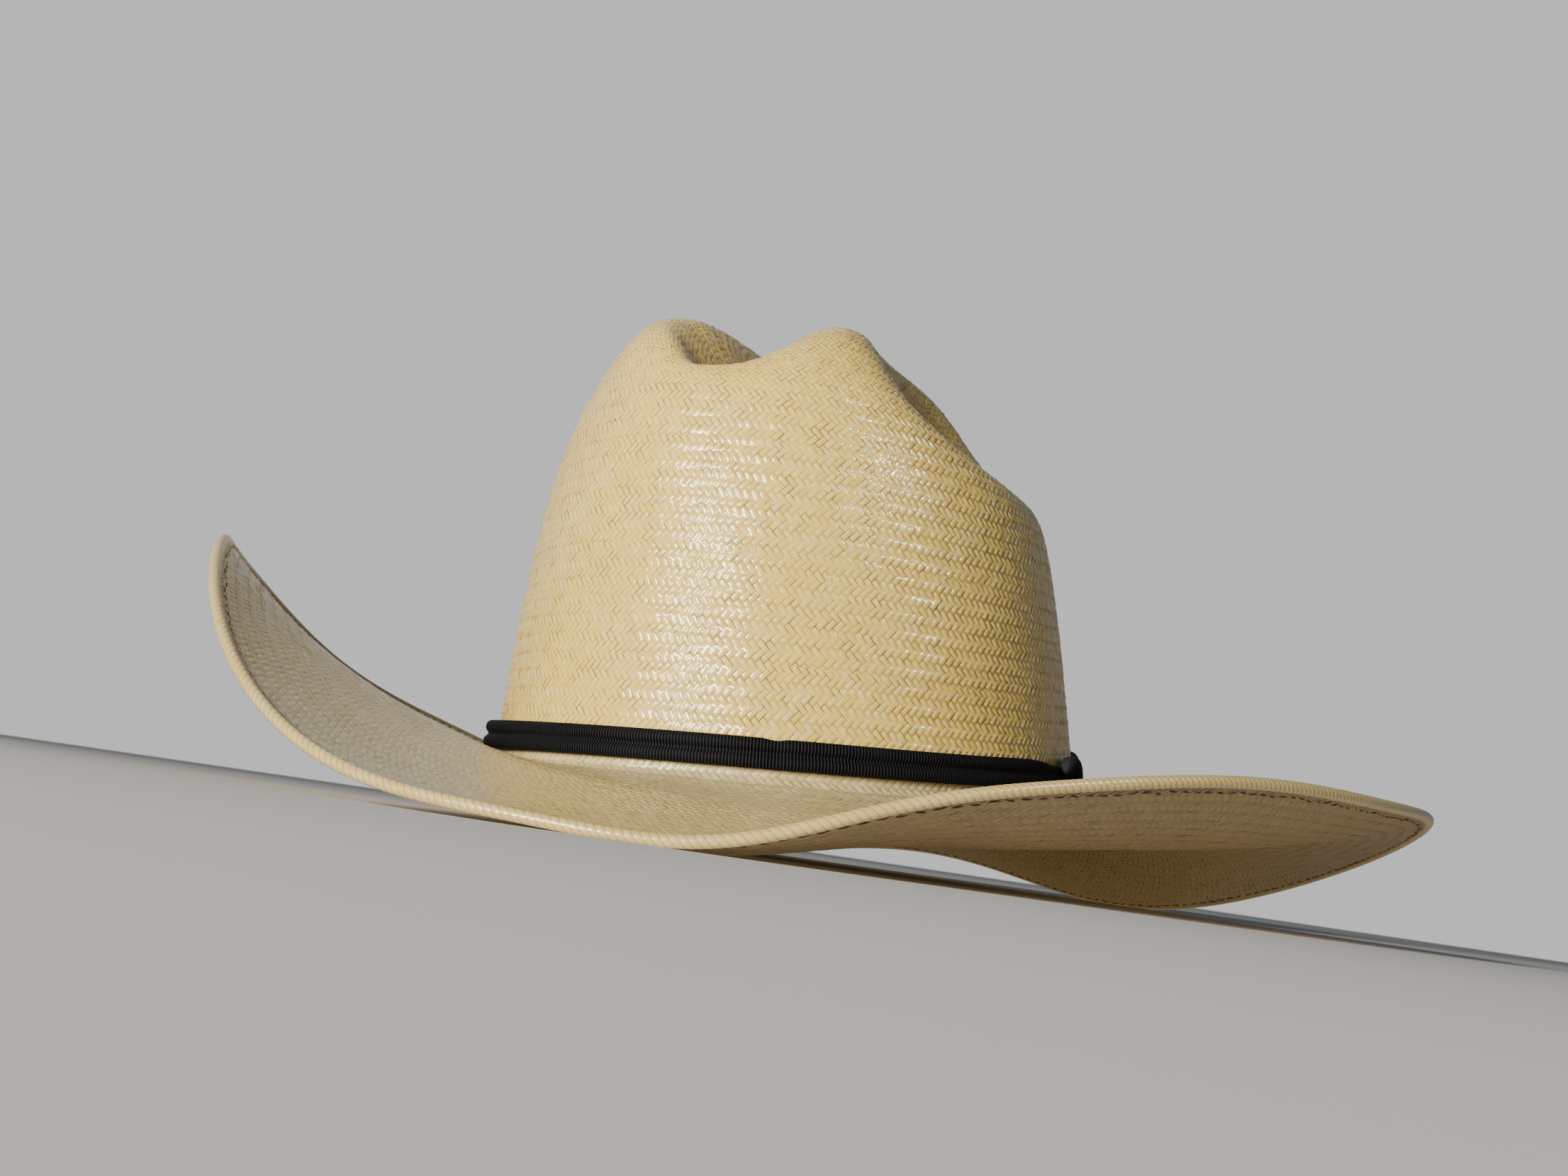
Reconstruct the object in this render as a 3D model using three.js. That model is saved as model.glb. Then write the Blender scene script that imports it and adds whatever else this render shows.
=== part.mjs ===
// Straw cowboy hat: a woven crown and brim in one piece, and a black ribbon band that ends in a knot.
// Millimetres, +Z up, +Y is the wearer's front, +X the wearer's right. The hat rests on its brim at Z = 0,
// and the origin is below the middle of its outer box. A turn angle runs round the crown from the front:
// 0 is the front, 90 the wearer's right, 180 the back and 270 the wearer's left.

import * as THREE from "three";

const DEGREE = Math.PI / 180;

// Straw
const WALL = 1.8; // woven straw, stiffened
const BEAD = 3.0; // rolled edge of the brim, over its turned-in hem
const HEM = 4.5; // from the edge to the line where the hem ends

// Crown, measured from the foot, the oval where it meets the brim
const CROWN_HALF_LENGTH = 98.64;
const CROWN_HALF_WIDTH = 86.16;
const CROWN_HEIGHT = 138.89; // at CROWN_HIGH_Y, before the crease is pressed in
const CROWN_HIGH_Y = -22.3;
const CROWN_FALL = 0.111; // height lost for each millimetre towards the front
const CROWN_DISH = 0.0006; // and regained with the square of the distance, so that both ends turn up
const CROWN_FULLNESS = 3.306; // 2 gives a round dome, more gives squarer shoulders
const CROWN_TAPER = 0.232; // share of the reach lost at the top
const CROWN_BELLY = 0.079; // share of the reach given back there as a curve
const CROWN_LEAN_RIGHT = 2.7;
const CROWN_LEAN_BACK = 8.1;
const LOBE_LIFT = 4.1; // the left ridge of the top stands this much higher, and the right one lower
const LOBE_BLEND = 12; // half the width over which that changes
const FOOT_WAVE = 1.65; // the foot is higher by this at the front and back, and lower at the sides
const TOP_START = 0.5; // share of the height where the crease and dents begin to show
const TOP_FULL = 0.85; // and where they are whole

// The long crease in the top
const CREASE_DEPTH = 29.05;
const CREASE_HALF_WIDTH = 17.3;
const CREASE_X = -2.8;
const CREASE_BACK_Y = -78.0; // it starts at the back edge of the top
const CREASE_FULL_Y = -48.8;
const CREASE_NARROWER = 9.0; // at the back the crease is narrower on its left side
const CREASE_NARROW_TO_Y = -34.0;
const CREASE_FADE_Y = 30.6;
const CREASE_FRONT_Y = 88.1;

// The dent in each side of the top, towards the front
const DENT_DEPTH = 36.3;
const DENT_SINK = 1.373; // how far the straw sinks for each millimetre that it goes in
const DENT_Y = 10.4;
const DENT_X = 55.3;
const DENT_BELOW_TOP = 12.4;
const DENT_HALF_LENGTH = 33.8;
const DENT_HALF_HEIGHT = 29.1;
const DENT_HALF_WIDTH = 18.6;
const DENT_MIDDLE = 10; // within this distance of the middle line the two dents fade into each other

// Brim sections, evenly spaced round the hat from the front. Width is along the straw from the foot to the
// edge, slope is that of the straight line between those two, and curl is how much the slope grows on the way.
const BRIM_HALF_LENGTH = 100.08;
const COLUMNS = { turn: 0, width: 1, slope: 2, curl: 3 };
const BRIM_SECTIONS = [
  [0, 100.1, -25.1, 20],
  [20, 99.9, -30.9, 25],
  [40, 103.0, -21.7, 32],
  [60, 106.1, -8.7, 37],
  [80, 105.8, -0.5, 44],
  [100, 103.1, 3.4, 59],
  [120, 101.8, 6.4, 71],
  [140, 102.5, 4.0, 65],
  [160, 102.4, 0.1, 41],
  [180, 100.3, -2.4, 20],
  [200, 99.1, 13.1, 19],
  [220, 100.8, 33.3, 33],
  [240, 103.3, 34.5, 48],
  [260, 103.5, 25.3, 54],
  [280, 102.0, 10.1, 53],
  [300, 101.6, -4.1, 47],
  [320, 102.4, -20.9, 35],
  [340, 102.0, -23.9, 24],
];
// A short extra droop in the edge at the back
const DROOP = { slope: 5.36, turn: 160.8, halfTurn: 11.3 };
const BRIM_START = 0.1; // share of the width over which the brim leaves the crown's oval for its own
const BRIM_SETTLE = 0.25; // share of the width after which its underside follows the sections

// How the hat lies: turned from upright on the head to resting on the front and back of its brim
const REST_PITCH = 6.24; // front up
const REST_ROLL = -2.51; // wearer's left down
const PRESS = 0.6; // the lowest straw is pressed flat by this much where it rests

// Ribbon band: a double fold of ribbon. Each row of the section is the height above the foot and the stand-off
// from the crown.
const BAND_GAP = 0.3;
const BAND_SECTION = [
  [3.0, BAND_GAP],
  [3.1, 2.6],
  [4.2, 3.6],
  [5.7, 3.6],
  [7.0, 2.6],
  [8.3, 3.6],
  [9.8, 3.6],
  [10.9, 2.6],
  [11.0, BAND_GAP],
];
const BAND_MIDDLE = 7.0;
const BAND_HALF_HEIGHT = 4.0;
const KNOT_TURN = 87;
const NECK = { turn: 82, halfTurn: 17, topDrop: 2.4, bottomRise: 1.2, sink: 0.58 }; // the band narrows into the knot
const PINCH = { turn: 155.5, halfTurn: 1.6, drop: 0.5, sink: 0.15 }; // a stitched nip in the band

// Knot and its short cut end, which points to the front. Height and stand-off as for the band.
const KNOT = {
  halfLength: 6.0,
  height: 6.9,
  halfHeight: 4.6,
  standOff: 3.9,
  halfDepth: 1.75,
  fullness: 2.6,
};
const KNOT_RINGS = 9;
const KNOT_SIDES = 12;
const END_THICKNESS = 1.0;
const END_CUT = 1.6; // the end is cut aslant, by this much turn
const END_COLUMNS = { turn: 0, height: 1, width: 2, standOff: 3 };
const END = [
  [70.0, 0.9, 4.4, 4.8],
  [74.0, 1.2, 4.4, 4.3],
  [77.5, 1.8, 4.2, 3.8],
  [80.5, 2.6, 3.6, 3.4],
  [82.8, 3.6, 2.8, 3.2],
];

// Finish of the sampled surfaces
const AROUND = 84;
// Rows of the crown at these shares of its height, and TOP_ROWS more on to the middle of the top
const CROWN_ROWS = [0, 0.12, 0.25, 0.38, 0.5, 0.57, 0.64, 0.7, 0.76, 0.81, 0.86, 0.9, 0.935];
const TOP_ROWS = 7;
const INNER_ROWS = [0.1, 0.25, 0.42, 0.55, 0.64, 0.72, 0.79, 0.85, 0.9]; // the same inside
const INNER_TOP_ROWS = 7;
const BRIM_TOP_ROWS = [0.06, 0.19, 0.33, 0.47, 0.61, 0.75, 0.87];
const BRIM_UNDER_ROWS = [0.86, 0.78, 0.67, 0.52, 0.35, 0.18, 0.04];
const BEAD_ANGLES = [120, 75, 35, 0, -45, -90, -125]; // round the rolled edge, from its top
const BAND_AROUND = 80;
const STEP = 1e-4; // for measuring slopes of the surfaces

const straw = new THREE.MeshStandardMaterial({ color: 0xd9c79a, roughness: 0.42, name: "straw" });
const ribbon = new THREE.MeshStandardMaterial({ color: 0x0d0e11, roughness: 0.72, name: "ribbon" });

// A soft step from 0 to 1
function smooth(value) {
  const t = THREE.MathUtils.clamp(value, 0, 1);
  return t * t * (3 - 2 * t);
}

function bell(value) {
  return Math.exp(-value * value);
}

// A brim value at any turn: the smoothest wave through every section
function brimValue(column, turn) {
  const count = BRIM_SECTIONS.length;
  let sum = 0;
  for (const row of BRIM_SECTIONS) {
    const half = ((turn - row[COLUMNS.turn]) * DEGREE) / 2;
    const spread = count * Math.sin(half);
    const weight = Math.abs(spread) < 1e-9 ? 1 : (Math.sin(count * half) * Math.cos(half)) / spread;
    sum += weight * row[column];
  }
  return sum;
}

// Height of the crown's top over a place on its middle line
function crownHeight(y) {
  const ahead = y - CROWN_HIGH_Y;
  return CROWN_HEIGHT - CROWN_FALL * ahead + CROWN_DISH * ahead * ahead;
}

// Outside of the crown: climb is 0 at the foot and 90 at the middle of the top
function crownPoint(turn, climb) {
  const power = 2 / CROWN_FULLNESS;
  const share = Math.pow(Math.max(Math.sin(climb * DEGREE), 1e-9), power);
  const level = Math.max(Math.cos(climb * DEGREE), 0);
  const reach = Math.pow(level, power) * (1 - CROWN_TAPER * share + CROWN_BELLY * share * share);
  const x = CROWN_HALF_WIDTH * reach * Math.sin(turn * DEGREE);
  const y = CROWN_HALF_LENGTH * reach * Math.cos(turn * DEGREE);
  const z = share * crownHeight(y);
  const top = smooth((share - TOP_START) / (TOP_FULL - TOP_START));
  const creaseEnds =
    smooth((y - CREASE_BACK_Y) / (CREASE_FULL_Y - CREASE_BACK_Y)) *
    (1 - smooth((y - CREASE_FADE_Y) / (CREASE_FRONT_Y - CREASE_FADE_Y)));
  const pinch = 1 - smooth((y - CREASE_BACK_Y) / (CREASE_NARROW_TO_Y - CREASE_BACK_Y));
  const creaseHalfWidth = CREASE_HALF_WIDTH - (x < CREASE_X ? CREASE_NARROWER * pinch : 0);
  const crease = CREASE_DEPTH * creaseEnds * bell((x - CREASE_X) / creaseHalfWidth) * top;
  const dentCentre = crownHeight(y) - DENT_BELOW_TOP;
  const dent =
    DENT_DEPTH *
    bell((y - DENT_Y) / DENT_HALF_LENGTH) *
    bell((z - dentCentre) / DENT_HALF_HEIGHT) *
    bell((Math.abs(x) - DENT_X) / DENT_HALF_WIDTH) *
    top;
  const lobes = LOBE_LIFT * Math.tanh(-x / LOBE_BLEND) * top * Math.pow(share, 4);
  const foot = FOOT_WAVE * Math.cos(2 * turn * DEGREE) * level * level;
  return new THREE.Vector3(
    x - Math.tanh(x / DENT_MIDDLE) * dent + CROWN_LEAN_RIGHT * share,
    y - CROWN_LEAN_BACK * share,
    z - crease - DENT_SINK * dent + lobes + foot,
  );
}

// The climb at a share of the crown's height
function climbAt(share) {
  return Math.asin(Math.pow(share, CROWN_FULLNESS / 2)) / DEGREE;
}

// The surface that the brim's sections describe: share is 0 at the foot and 1 at the edge
function brimPoint(turn, share) {
  const angle = turn * DEGREE;
  const start = smooth(share / BRIM_START);
  const halfLength = THREE.MathUtils.lerp(CROWN_HALF_LENGTH, BRIM_HALF_LENGTH, start);
  const out = new THREE.Vector2(Math.sin(angle) / CROWN_HALF_WIDTH, Math.cos(angle) / halfLength).normalize();
  const width = brimValue(COLUMNS.width, turn);
  const droop = DROOP.slope * bell((turn - DROOP.turn) / DROOP.halfTurn);
  const slope = (brimValue(COLUMNS.slope, turn) - droop) * DEGREE;
  const curl = brimValue(COLUMNS.curl, turn) * DEGREE;
  const first = slope - curl / 2;
  const here = first + curl * share;
  const reach = (width * (Math.sin(here) - Math.sin(first))) / curl;
  const rise = (width * (Math.cos(first) - Math.cos(here))) / curl;
  return new THREE.Vector3(
    CROWN_HALF_WIDTH * Math.sin(angle) + out.x * reach,
    halfLength * Math.cos(angle) + out.y * reach,
    FOOT_WAVE * Math.cos(2 * angle) + rise,
  );
}

// Outward normal of a surface whose second value runs away from the middle of the top
function normalAt(surface, turn, value, least, most, sign) {
  const across = surface(turn + STEP * 90, value).sub(surface(turn - STEP * 90, value));
  const step = (most - least) * STEP;
  const low = Math.max(value - step, least);
  const high = Math.min(value + step, most);
  const along = surface(turn, high).sub(surface(turn, low)).multiplyScalar(sign);
  return across.cross(along).normalize();
}

function crownNormal(turn, climb) {
  return normalAt(crownPoint, turn, Math.min(climb, 89.5), 0, 90, -1);
}

function brimNormal(turn, share) {
  return normalAt(brimPoint, turn, share, 0, 1, 1);
}

// Turn and shift from upright on the head to lying at rest
const restTurn = new THREE.Matrix4()
  .makeRotationY(REST_ROLL * DEGREE)
  .multiply(new THREE.Matrix4().makeRotationX(REST_PITCH * DEGREE));
const restShift = new THREE.Vector3();

function atRest(point) {
  return point.applyMatrix4(restTurn).add(restShift);
}

// One ring of points round the hat, the point for each turn given by a function
function ring(count, pointAt) {
  return Array.from({ length: count }, (_, i) => pointAt((i * 360) / count));
}

// Climbs for rows at some shares of the height, and then evenly on to the middle of the top
function climbs(shares, topRows) {
  const side = shares.map(climbAt);
  const last = side[side.length - 1];
  for (let i = 1; i < topRows; i++) side.push(THREE.MathUtils.lerp(last, 90, i / topRows));
  return side;
}

// Rings of the outside, from the middle of the top to the brim's edge, and of the inside back to the top
function hatRings() {
  const rings = [];
  const crownRing = (climb, inset) =>
    rings.push(ring(AROUND, (t) => crownPoint(t, climb).addScaledVector(crownNormal(t, climb), -inset)));
  // Offset of the top or under face from the sections' surface; face is 1 on top and -1 underneath
  const brimRing = (share, face) =>
    rings.push(
      ring(AROUND, (t) => {
        const settled = smooth(share / BRIM_SETTLE);
        const middle = THREE.MathUtils.lerp(-WALL / 2, BEAD / 2, settled);
        return brimPoint(t, share).addScaledVector(brimNormal(t, share), middle + (face * WALL) / 2);
      }),
    );
  const hemShare = (t) => 1 - HEM / brimValue(COLUMNS.width, t);
  const hemRing = (face) =>
    rings.push(
      ring(AROUND, (t) =>
        brimPoint(t, hemShare(t)).addScaledVector(brimNormal(t, hemShare(t)), BEAD / 2 + (face * WALL) / 2),
      ),
    );
  const beadRing = (angle) =>
    rings.push(
      ring(AROUND, (t) => {
        const share = 1 - BEAD / 2 / brimValue(COLUMNS.width, t);
        const up = brimNormal(t, share);
        const out = brimPoint(t, 1).sub(brimPoint(t, share)).normalize();
        return brimPoint(t, share)
          .addScaledVector(up, BEAD / 2 + (BEAD / 2) * Math.sin(angle * DEGREE))
          .addScaledVector(out, (BEAD / 2) * Math.cos(angle * DEGREE));
      }),
    );

  for (const climb of climbs(CROWN_ROWS, TOP_ROWS).reverse()) crownRing(climb, 0);
  for (const share of BRIM_TOP_ROWS) brimRing(share, 1);
  hemRing(1);
  for (const angle of BEAD_ANGLES) beadRing(angle);
  hemRing(-1);
  for (const share of BRIM_UNDER_ROWS) brimRing(share, -1);
  rings.push(
    ring(AROUND, (t) => {
      const corner = crownNormal(t, 0).add(brimNormal(t, 0));
      return crownPoint(t, 0).addScaledVector(corner, -WALL);
    }),
  );
  for (const climb of climbs(INNER_ROWS, INNER_TOP_ROWS)) crownRing(climb, WALL);
  return rings;
}

// Triangles between neighbouring rings. Seen from outside, rings follow each other to the right or down, and
// the points of a ring run up or to the left.
function joinRings(rings, closed) {
  const count = rings[0].length;
  const index = [];
  const spans = closed ? rings.length : rings.length - 1;
  for (let r = 0; r < spans; r++) {
    const next = ((r + 1) % rings.length) * count;
    for (let i = 0; i < count; i++) {
      const j = (i + 1) % count;
      const a = r * count + i;
      const b = r * count + j;
      index.push(a, b, next + j, a, next + j, next + i);
    }
  }
  return { points: rings.flat(), index };
}

// Closes the first or the last ring with a fan to one point
function cap(shape, rings, atEnd, tipPoint) {
  const count = rings[0].length;
  const tip = shape.points.push(tipPoint) - 1;
  const start = atEnd ? (rings.length - 1) * count : 0;
  for (let i = 0; i < count; i++) {
    const a = start + i;
    const b = start + ((i + 1) % count);
    shape.index.push(...(atEnd ? [a, b, tip] : [b, a, tip]));
  }
}

function geometryOf({ points, index }) {
  const geometry = new THREE.BufferGeometry().setFromPoints(points);
  geometry.setIndex(index);
  geometry.computeVertexNormals();
  return geometry;
}

function middleOf(points) {
  return points.reduce((sum, p) => sum.add(p), new THREE.Vector3()).divideScalar(points.length);
}

function makeHatBody() {
  const rings = hatRings();
  const shape = joinRings(rings, false);
  const top = crownPoint(0, 90);
  cap(shape, rings, false, top);
  cap(shape, rings, true, top.clone().add(new THREE.Vector3(0, 0, -WALL)));
  shape.points.forEach((point) => point.applyMatrix4(restTurn));
  const box = new THREE.Box3().setFromPoints(shape.points);
  const middle = box.getCenter(new THREE.Vector3());
  restShift.set(-middle.x, -middle.y, -box.min.z - PRESS);
  shape.points.forEach((point) => point.add(restShift).setZ(Math.max(point.z, 0)));
  return geometryOf(shape);
}

// A place beside the crown, by its height above the foot and its stand-off from the straw
function sidePoint(turn, height, standOff) {
  const top = crownHeight(CROWN_HALF_LENGTH * Math.cos(turn * DEGREE));
  const out = crownNormal(turn, climbAt(BAND_MIDDLE / top));
  const climb = height > 0 ? climbAt(height / top) : 0;
  const point = crownPoint(turn, climb).addScaledVector(out, standOff);
  return height > 0 ? point : point.setZ(point.z + height);
}

function makeBand() {
  const rings = ring(BAND_AROUND, (turn) => {
    const neck = Math.exp(-Math.pow((turn - NECK.turn) / NECK.halfTurn, 4));
    const nip = bell((turn - PINCH.turn) / PINCH.halfTurn);
    return BAND_SECTION.map(([height, standOff]) => {
      const side = (height - BAND_MIDDLE) / BAND_HALF_HEIGHT;
      const drawn = side > 0 ? NECK.topDrop * neck + PINCH.drop * nip : NECK.bottomRise * neck;
      const sunk = (standOff - BAND_GAP) * (NECK.sink * neck + PINCH.sink * nip);
      return atRest(sidePoint(turn, height - side * drawn, standOff - sunk));
    });
  });
  return geometryOf(joinRings(rings, true));
}

// A pillow of ribbon drawn tight over the neck of the band
function makeKnot() {
  const power = 2 / KNOT.fullness;
  const round = (value) => Math.sign(value) * Math.pow(Math.abs(value), power);
  const millimetreTurn = 1 / (CROWN_HALF_WIDTH * DEGREE);
  const at = (along, around) => {
    const size = round(Math.cos(along * DEGREE));
    return atRest(
      sidePoint(
        KNOT_TURN + KNOT.halfLength * round(Math.sin(along * DEGREE)) * millimetreTurn,
        KNOT.height - KNOT.halfHeight * size * round(Math.cos(around * DEGREE)),
        KNOT.standOff + KNOT.halfDepth * size * round(Math.sin(around * DEGREE)),
      ),
    );
  };
  const rings = [];
  for (let i = 1; i <= KNOT_RINGS; i++) {
    const along = -90 + (180 * i) / (KNOT_RINGS + 1);
    rings.push(ring(KNOT_SIDES, (around) => at(along, around)));
  }
  const shape = joinRings(rings, false);
  cap(shape, rings, false, at(-90, 0));
  cap(shape, rings, true, at(90, 0));
  return geometryOf(shape);
}

// The short flat end of ribbon, through the rows of its table
function makeEnd() {
  const rings = END.map((row, i) => {
    const turn = row[END_COLUMNS.turn];
    const half = row[END_COLUMNS.width] / 2;
    const low = row[END_COLUMNS.height] - half;
    const high = row[END_COLUMNS.height] + half;
    const inner = row[END_COLUMNS.standOff];
    const outer = inner + END_THICKNESS;
    const cut = i === 0 ? END_CUT : 0;
    return [
      sidePoint(turn, low, inner),
      sidePoint(turn, low, outer),
      sidePoint(turn + cut, high, outer),
      sidePoint(turn + cut, high, inner),
    ].map(atRest);
  });
  const shape = joinRings(rings, false);
  cap(shape, rings, false, middleOf(rings[0]));
  cap(shape, rings, true, middleOf(rings[rings.length - 1]));
  return geometryOf(shape);
}

function piece(name, geometry, material) {
  const mesh = new THREE.Mesh(geometry, material);
  mesh.name = name;
  return mesh;
}

const hat = new THREE.Group();
const band = new THREE.Group();
hat.add(piece("hat_body", makeHatBody(), straw));
band.add(piece("hat_band", makeBand(), ribbon));
band.add(piece("band_knot", makeKnot(), ribbon));
band.add(piece("band_end", makeEnd(), ribbon));
hat.add(band);

export default hat;
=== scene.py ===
# %% [markdown]
# # A straw cowboy hat
# This lesson dresses a plain solid model of a western straw hat: a crown with a long crease and two
# side dents, a wide brim that curls up at the sides, a rolled edge, and a narrow black ribbon band
# with a small knot. The solid model is the frame. It gives the size and the place of everything, so
# it is loaded first.

import math

import bpy
import numpy as np
from mathutils import Matrix, Vector


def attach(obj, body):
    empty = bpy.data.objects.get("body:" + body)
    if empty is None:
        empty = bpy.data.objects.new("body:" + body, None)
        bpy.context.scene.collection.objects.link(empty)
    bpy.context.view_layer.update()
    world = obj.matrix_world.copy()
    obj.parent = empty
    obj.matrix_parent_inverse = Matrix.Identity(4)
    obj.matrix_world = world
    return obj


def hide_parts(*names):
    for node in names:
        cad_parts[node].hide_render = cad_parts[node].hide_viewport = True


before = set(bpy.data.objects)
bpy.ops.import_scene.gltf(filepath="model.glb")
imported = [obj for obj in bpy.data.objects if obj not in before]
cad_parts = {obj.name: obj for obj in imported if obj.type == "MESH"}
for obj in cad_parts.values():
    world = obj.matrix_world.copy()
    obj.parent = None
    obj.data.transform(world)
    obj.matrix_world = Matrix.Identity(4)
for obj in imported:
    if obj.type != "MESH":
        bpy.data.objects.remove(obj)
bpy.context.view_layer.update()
MM = 0.001

# %% [markdown]
# ## The form of the crown
# A woven hat is one surface pressed over a block, so a formula can describe it: an oval that narrows
# a little and closes over the top like a squared dome. The crease is a long trough pressed into the
# top, and each dent a hollow pressed in from the side. The same named sizes shaped the solid, in
# millimetres, so the woven surface lies exactly on it. Every function takes whole arrays, because
# tens of thousands of points are placed at once.

# %% The crown's sizes and its surface
CROWN_HALF_LENGTH = 98.64
CROWN_HALF_WIDTH = 86.16
CROWN_HEIGHT = 138.89  # at CROWN_HIGH_Y, before the crease is pressed in
CROWN_HIGH_Y = -22.3
CROWN_FALL = 0.111
CROWN_DISH = 0.0006
CROWN_FULLNESS = 3.306
CROWN_TAPER = 0.232
CROWN_BELLY = 0.079
CROWN_LEAN_RIGHT = 2.7
CROWN_LEAN_BACK = 8.1
LOBE_LIFT = 4.1
LOBE_BLEND = 12.0
FOOT_WAVE = 1.65
TOP_START = 0.5
TOP_FULL = 0.85
TOP_CLIMB = 90.0  # degrees, at the very top
NEAR_TOP = 89.5  # where the top's normal is measured, because at the very top it has no direction
CREASE = {
    "depth": 29.05,
    "half_width": 17.3,
    "x": -2.8,
    "back": -78.0,  # it starts here, is at its full depth from "full" to "fade", and ends at "front"
    "full": -48.8,
    "fade": 30.6,
    "front": 88.1,
}
CREASE_PINCH = {"narrower": 9.0, "front": -34.0}  # at its back end, the crease is narrower on the left
DENT = {"depth": 36.3, "sink": 1.373, "y": 10.4, "x": 55.3, "below": 12.4}
DENT_HALF = {"length": 33.8, "height": 29.1, "width": 18.6, "middle": 10.0}


def smooth(value):
    t = np.clip(value, 0.0, 1.0)
    return t * t * (3.0 - 2.0 * t)


def bell(value):
    return np.exp(-value * value)


def crown_height(y):
    ahead = y - CROWN_HIGH_Y
    return CROWN_HEIGHT - CROWN_FALL * ahead + CROWN_DISH * ahead * ahead


def crown_point(turn, climb):
    """The outside of the crown. turn runs round from the front, climb from 0 at the foot to TOP_CLIMB."""
    turn, climb = np.radians(turn), np.radians(climb)
    power = 2.0 / CROWN_FULLNESS
    share = np.maximum(np.sin(climb), 1e-9) ** power
    level = np.maximum(np.cos(climb), 0.0)
    reach = level**power * (1.0 - CROWN_TAPER * share + CROWN_BELLY * share * share)
    x = CROWN_HALF_WIDTH * reach * np.sin(turn)
    y = CROWN_HALF_LENGTH * reach * np.cos(turn)
    z = share * crown_height(y)
    top = smooth((share - TOP_START) / (TOP_FULL - TOP_START))
    crease_ends = smooth((y - CREASE["back"]) / (CREASE["full"] - CREASE["back"])) * (
        1.0 - smooth((y - CREASE["fade"]) / (CREASE["front"] - CREASE["fade"]))
    )
    pinch = 1.0 - smooth((y - CREASE["back"]) / (CREASE_PINCH["front"] - CREASE["back"]))
    half_width = CREASE["half_width"] - CREASE_PINCH["narrower"] * pinch * (x < CREASE["x"])
    crease = CREASE["depth"] * crease_ends * bell((x - CREASE["x"]) / half_width) * top
    dent_centre = crown_height(y) - DENT["below"]
    dent = (
        DENT["depth"]
        * bell((y - DENT["y"]) / DENT_HALF["length"])
        * bell((z - dent_centre) / DENT_HALF["height"])
        * bell((np.abs(x) - DENT["x"]) / DENT_HALF["width"])
        * top
    )
    lobes = LOBE_LIFT * np.tanh(-x / LOBE_BLEND) * top * share**4
    foot = FOOT_WAVE * np.cos(2 * turn) * level * level
    return np.stack(
        [
            x - np.tanh(x / DENT_HALF["middle"]) * dent + CROWN_LEAN_RIGHT * share,
            y - CROWN_LEAN_BACK * share,
            z - crease - DENT["sink"] * dent + lobes + foot,
        ],
        -1,
    )


def climb_at(share):
    """The climb at a share of the crown's height."""
    return np.degrees(np.arcsin(np.power(share, CROWN_FULLNESS / 2.0)))


print("crown top at the middle:", crown_point(np.zeros(1), np.full(1, TOP_CLIMB)).round(1))

# %% [markdown]
# ## The form of the brim
# The brim starts flat and is then steamed and curled, more at the sides than at the front and back.
# Eighteen sections say how wide it is, how steep it stands and how much it curls, and a wave through
# all of them gives every place between.

# %% The brim's sections and its surface
BRIM_HALF_LENGTH = 100.08
TURN, WIDTH, SLOPE, CURL = 0, 1, 2, 3
BRIM_SECTIONS = np.array(
    [
        [0, 100.1, -25.1, 20],
        [20, 99.9, -30.9, 25],
        [40, 103.0, -21.7, 32],
        [60, 106.1, -8.7, 37],
        [80, 105.8, -0.5, 44],
        [100, 103.1, 3.4, 59],
        [120, 101.8, 6.4, 71],
        [140, 102.5, 4.0, 65],
        [160, 102.4, 0.1, 41],
        [180, 100.3, -2.4, 20],
        [200, 99.1, 13.1, 19],
        [220, 100.8, 33.3, 33],
        [240, 103.3, 34.5, 48],
        [260, 103.5, 25.3, 54],
        [280, 102.0, 10.1, 53],
        [300, 101.6, -4.1, 47],
        [320, 102.4, -20.9, 35],
        [340, 102.0, -23.9, 24],
    ]
)
DROOP = {"slope": 5.36, "turn": 160.8, "half_turn": 11.3}
BRIM_START = 0.1
BRIM_SETTLE = 0.25
WALL = 1.8
BEAD = 3.0


def brim_value(column, turn):
    """A column of the sections at any turn: the smoothest wave through all of them."""
    count = len(BRIM_SECTIONS)
    half = np.radians(turn[:, None] - BRIM_SECTIONS[None, :, TURN]) / 2.0
    spread = count * np.sin(half)
    near = np.abs(spread) < 1e-9
    weight = np.where(near, 1.0, np.sin(count * half) * np.cos(half) / np.where(near, 1.0, spread))
    return weight @ BRIM_SECTIONS[:, column]


def brim_point(turn, share):
    """The surface of the sections. share is 0 at the crown's foot and 1 at the edge."""
    angle = np.radians(turn)
    half_length = CROWN_HALF_LENGTH + (BRIM_HALF_LENGTH - CROWN_HALF_LENGTH) * smooth(share / BRIM_START)
    out_x, out_y = np.sin(angle) / CROWN_HALF_WIDTH, np.cos(angle) / half_length
    length = np.hypot(out_x, out_y)
    width = brim_value(WIDTH, turn)
    droop = DROOP["slope"] * bell((turn % 360.0 - DROOP["turn"]) / DROOP["half_turn"])
    slope = np.radians(brim_value(SLOPE, turn) - droop)
    curl = np.radians(brim_value(CURL, turn))
    first = slope - curl / 2.0
    here = first + curl * share
    reach = width * (np.sin(here) - np.sin(first)) / curl
    rise = width * (np.cos(first) - np.cos(here)) / curl
    return np.stack(
        [
            CROWN_HALF_WIDTH * np.sin(angle) + out_x / length * reach,
            half_length * np.cos(angle) + out_y / length * reach,
            FOOT_WAVE * np.cos(2 * angle) + rise,
        ],
        -1,
    )


def unit(vectors):
    return vectors / np.maximum(np.linalg.norm(vectors, axis=-1, keepdims=True), 1e-12)


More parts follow.
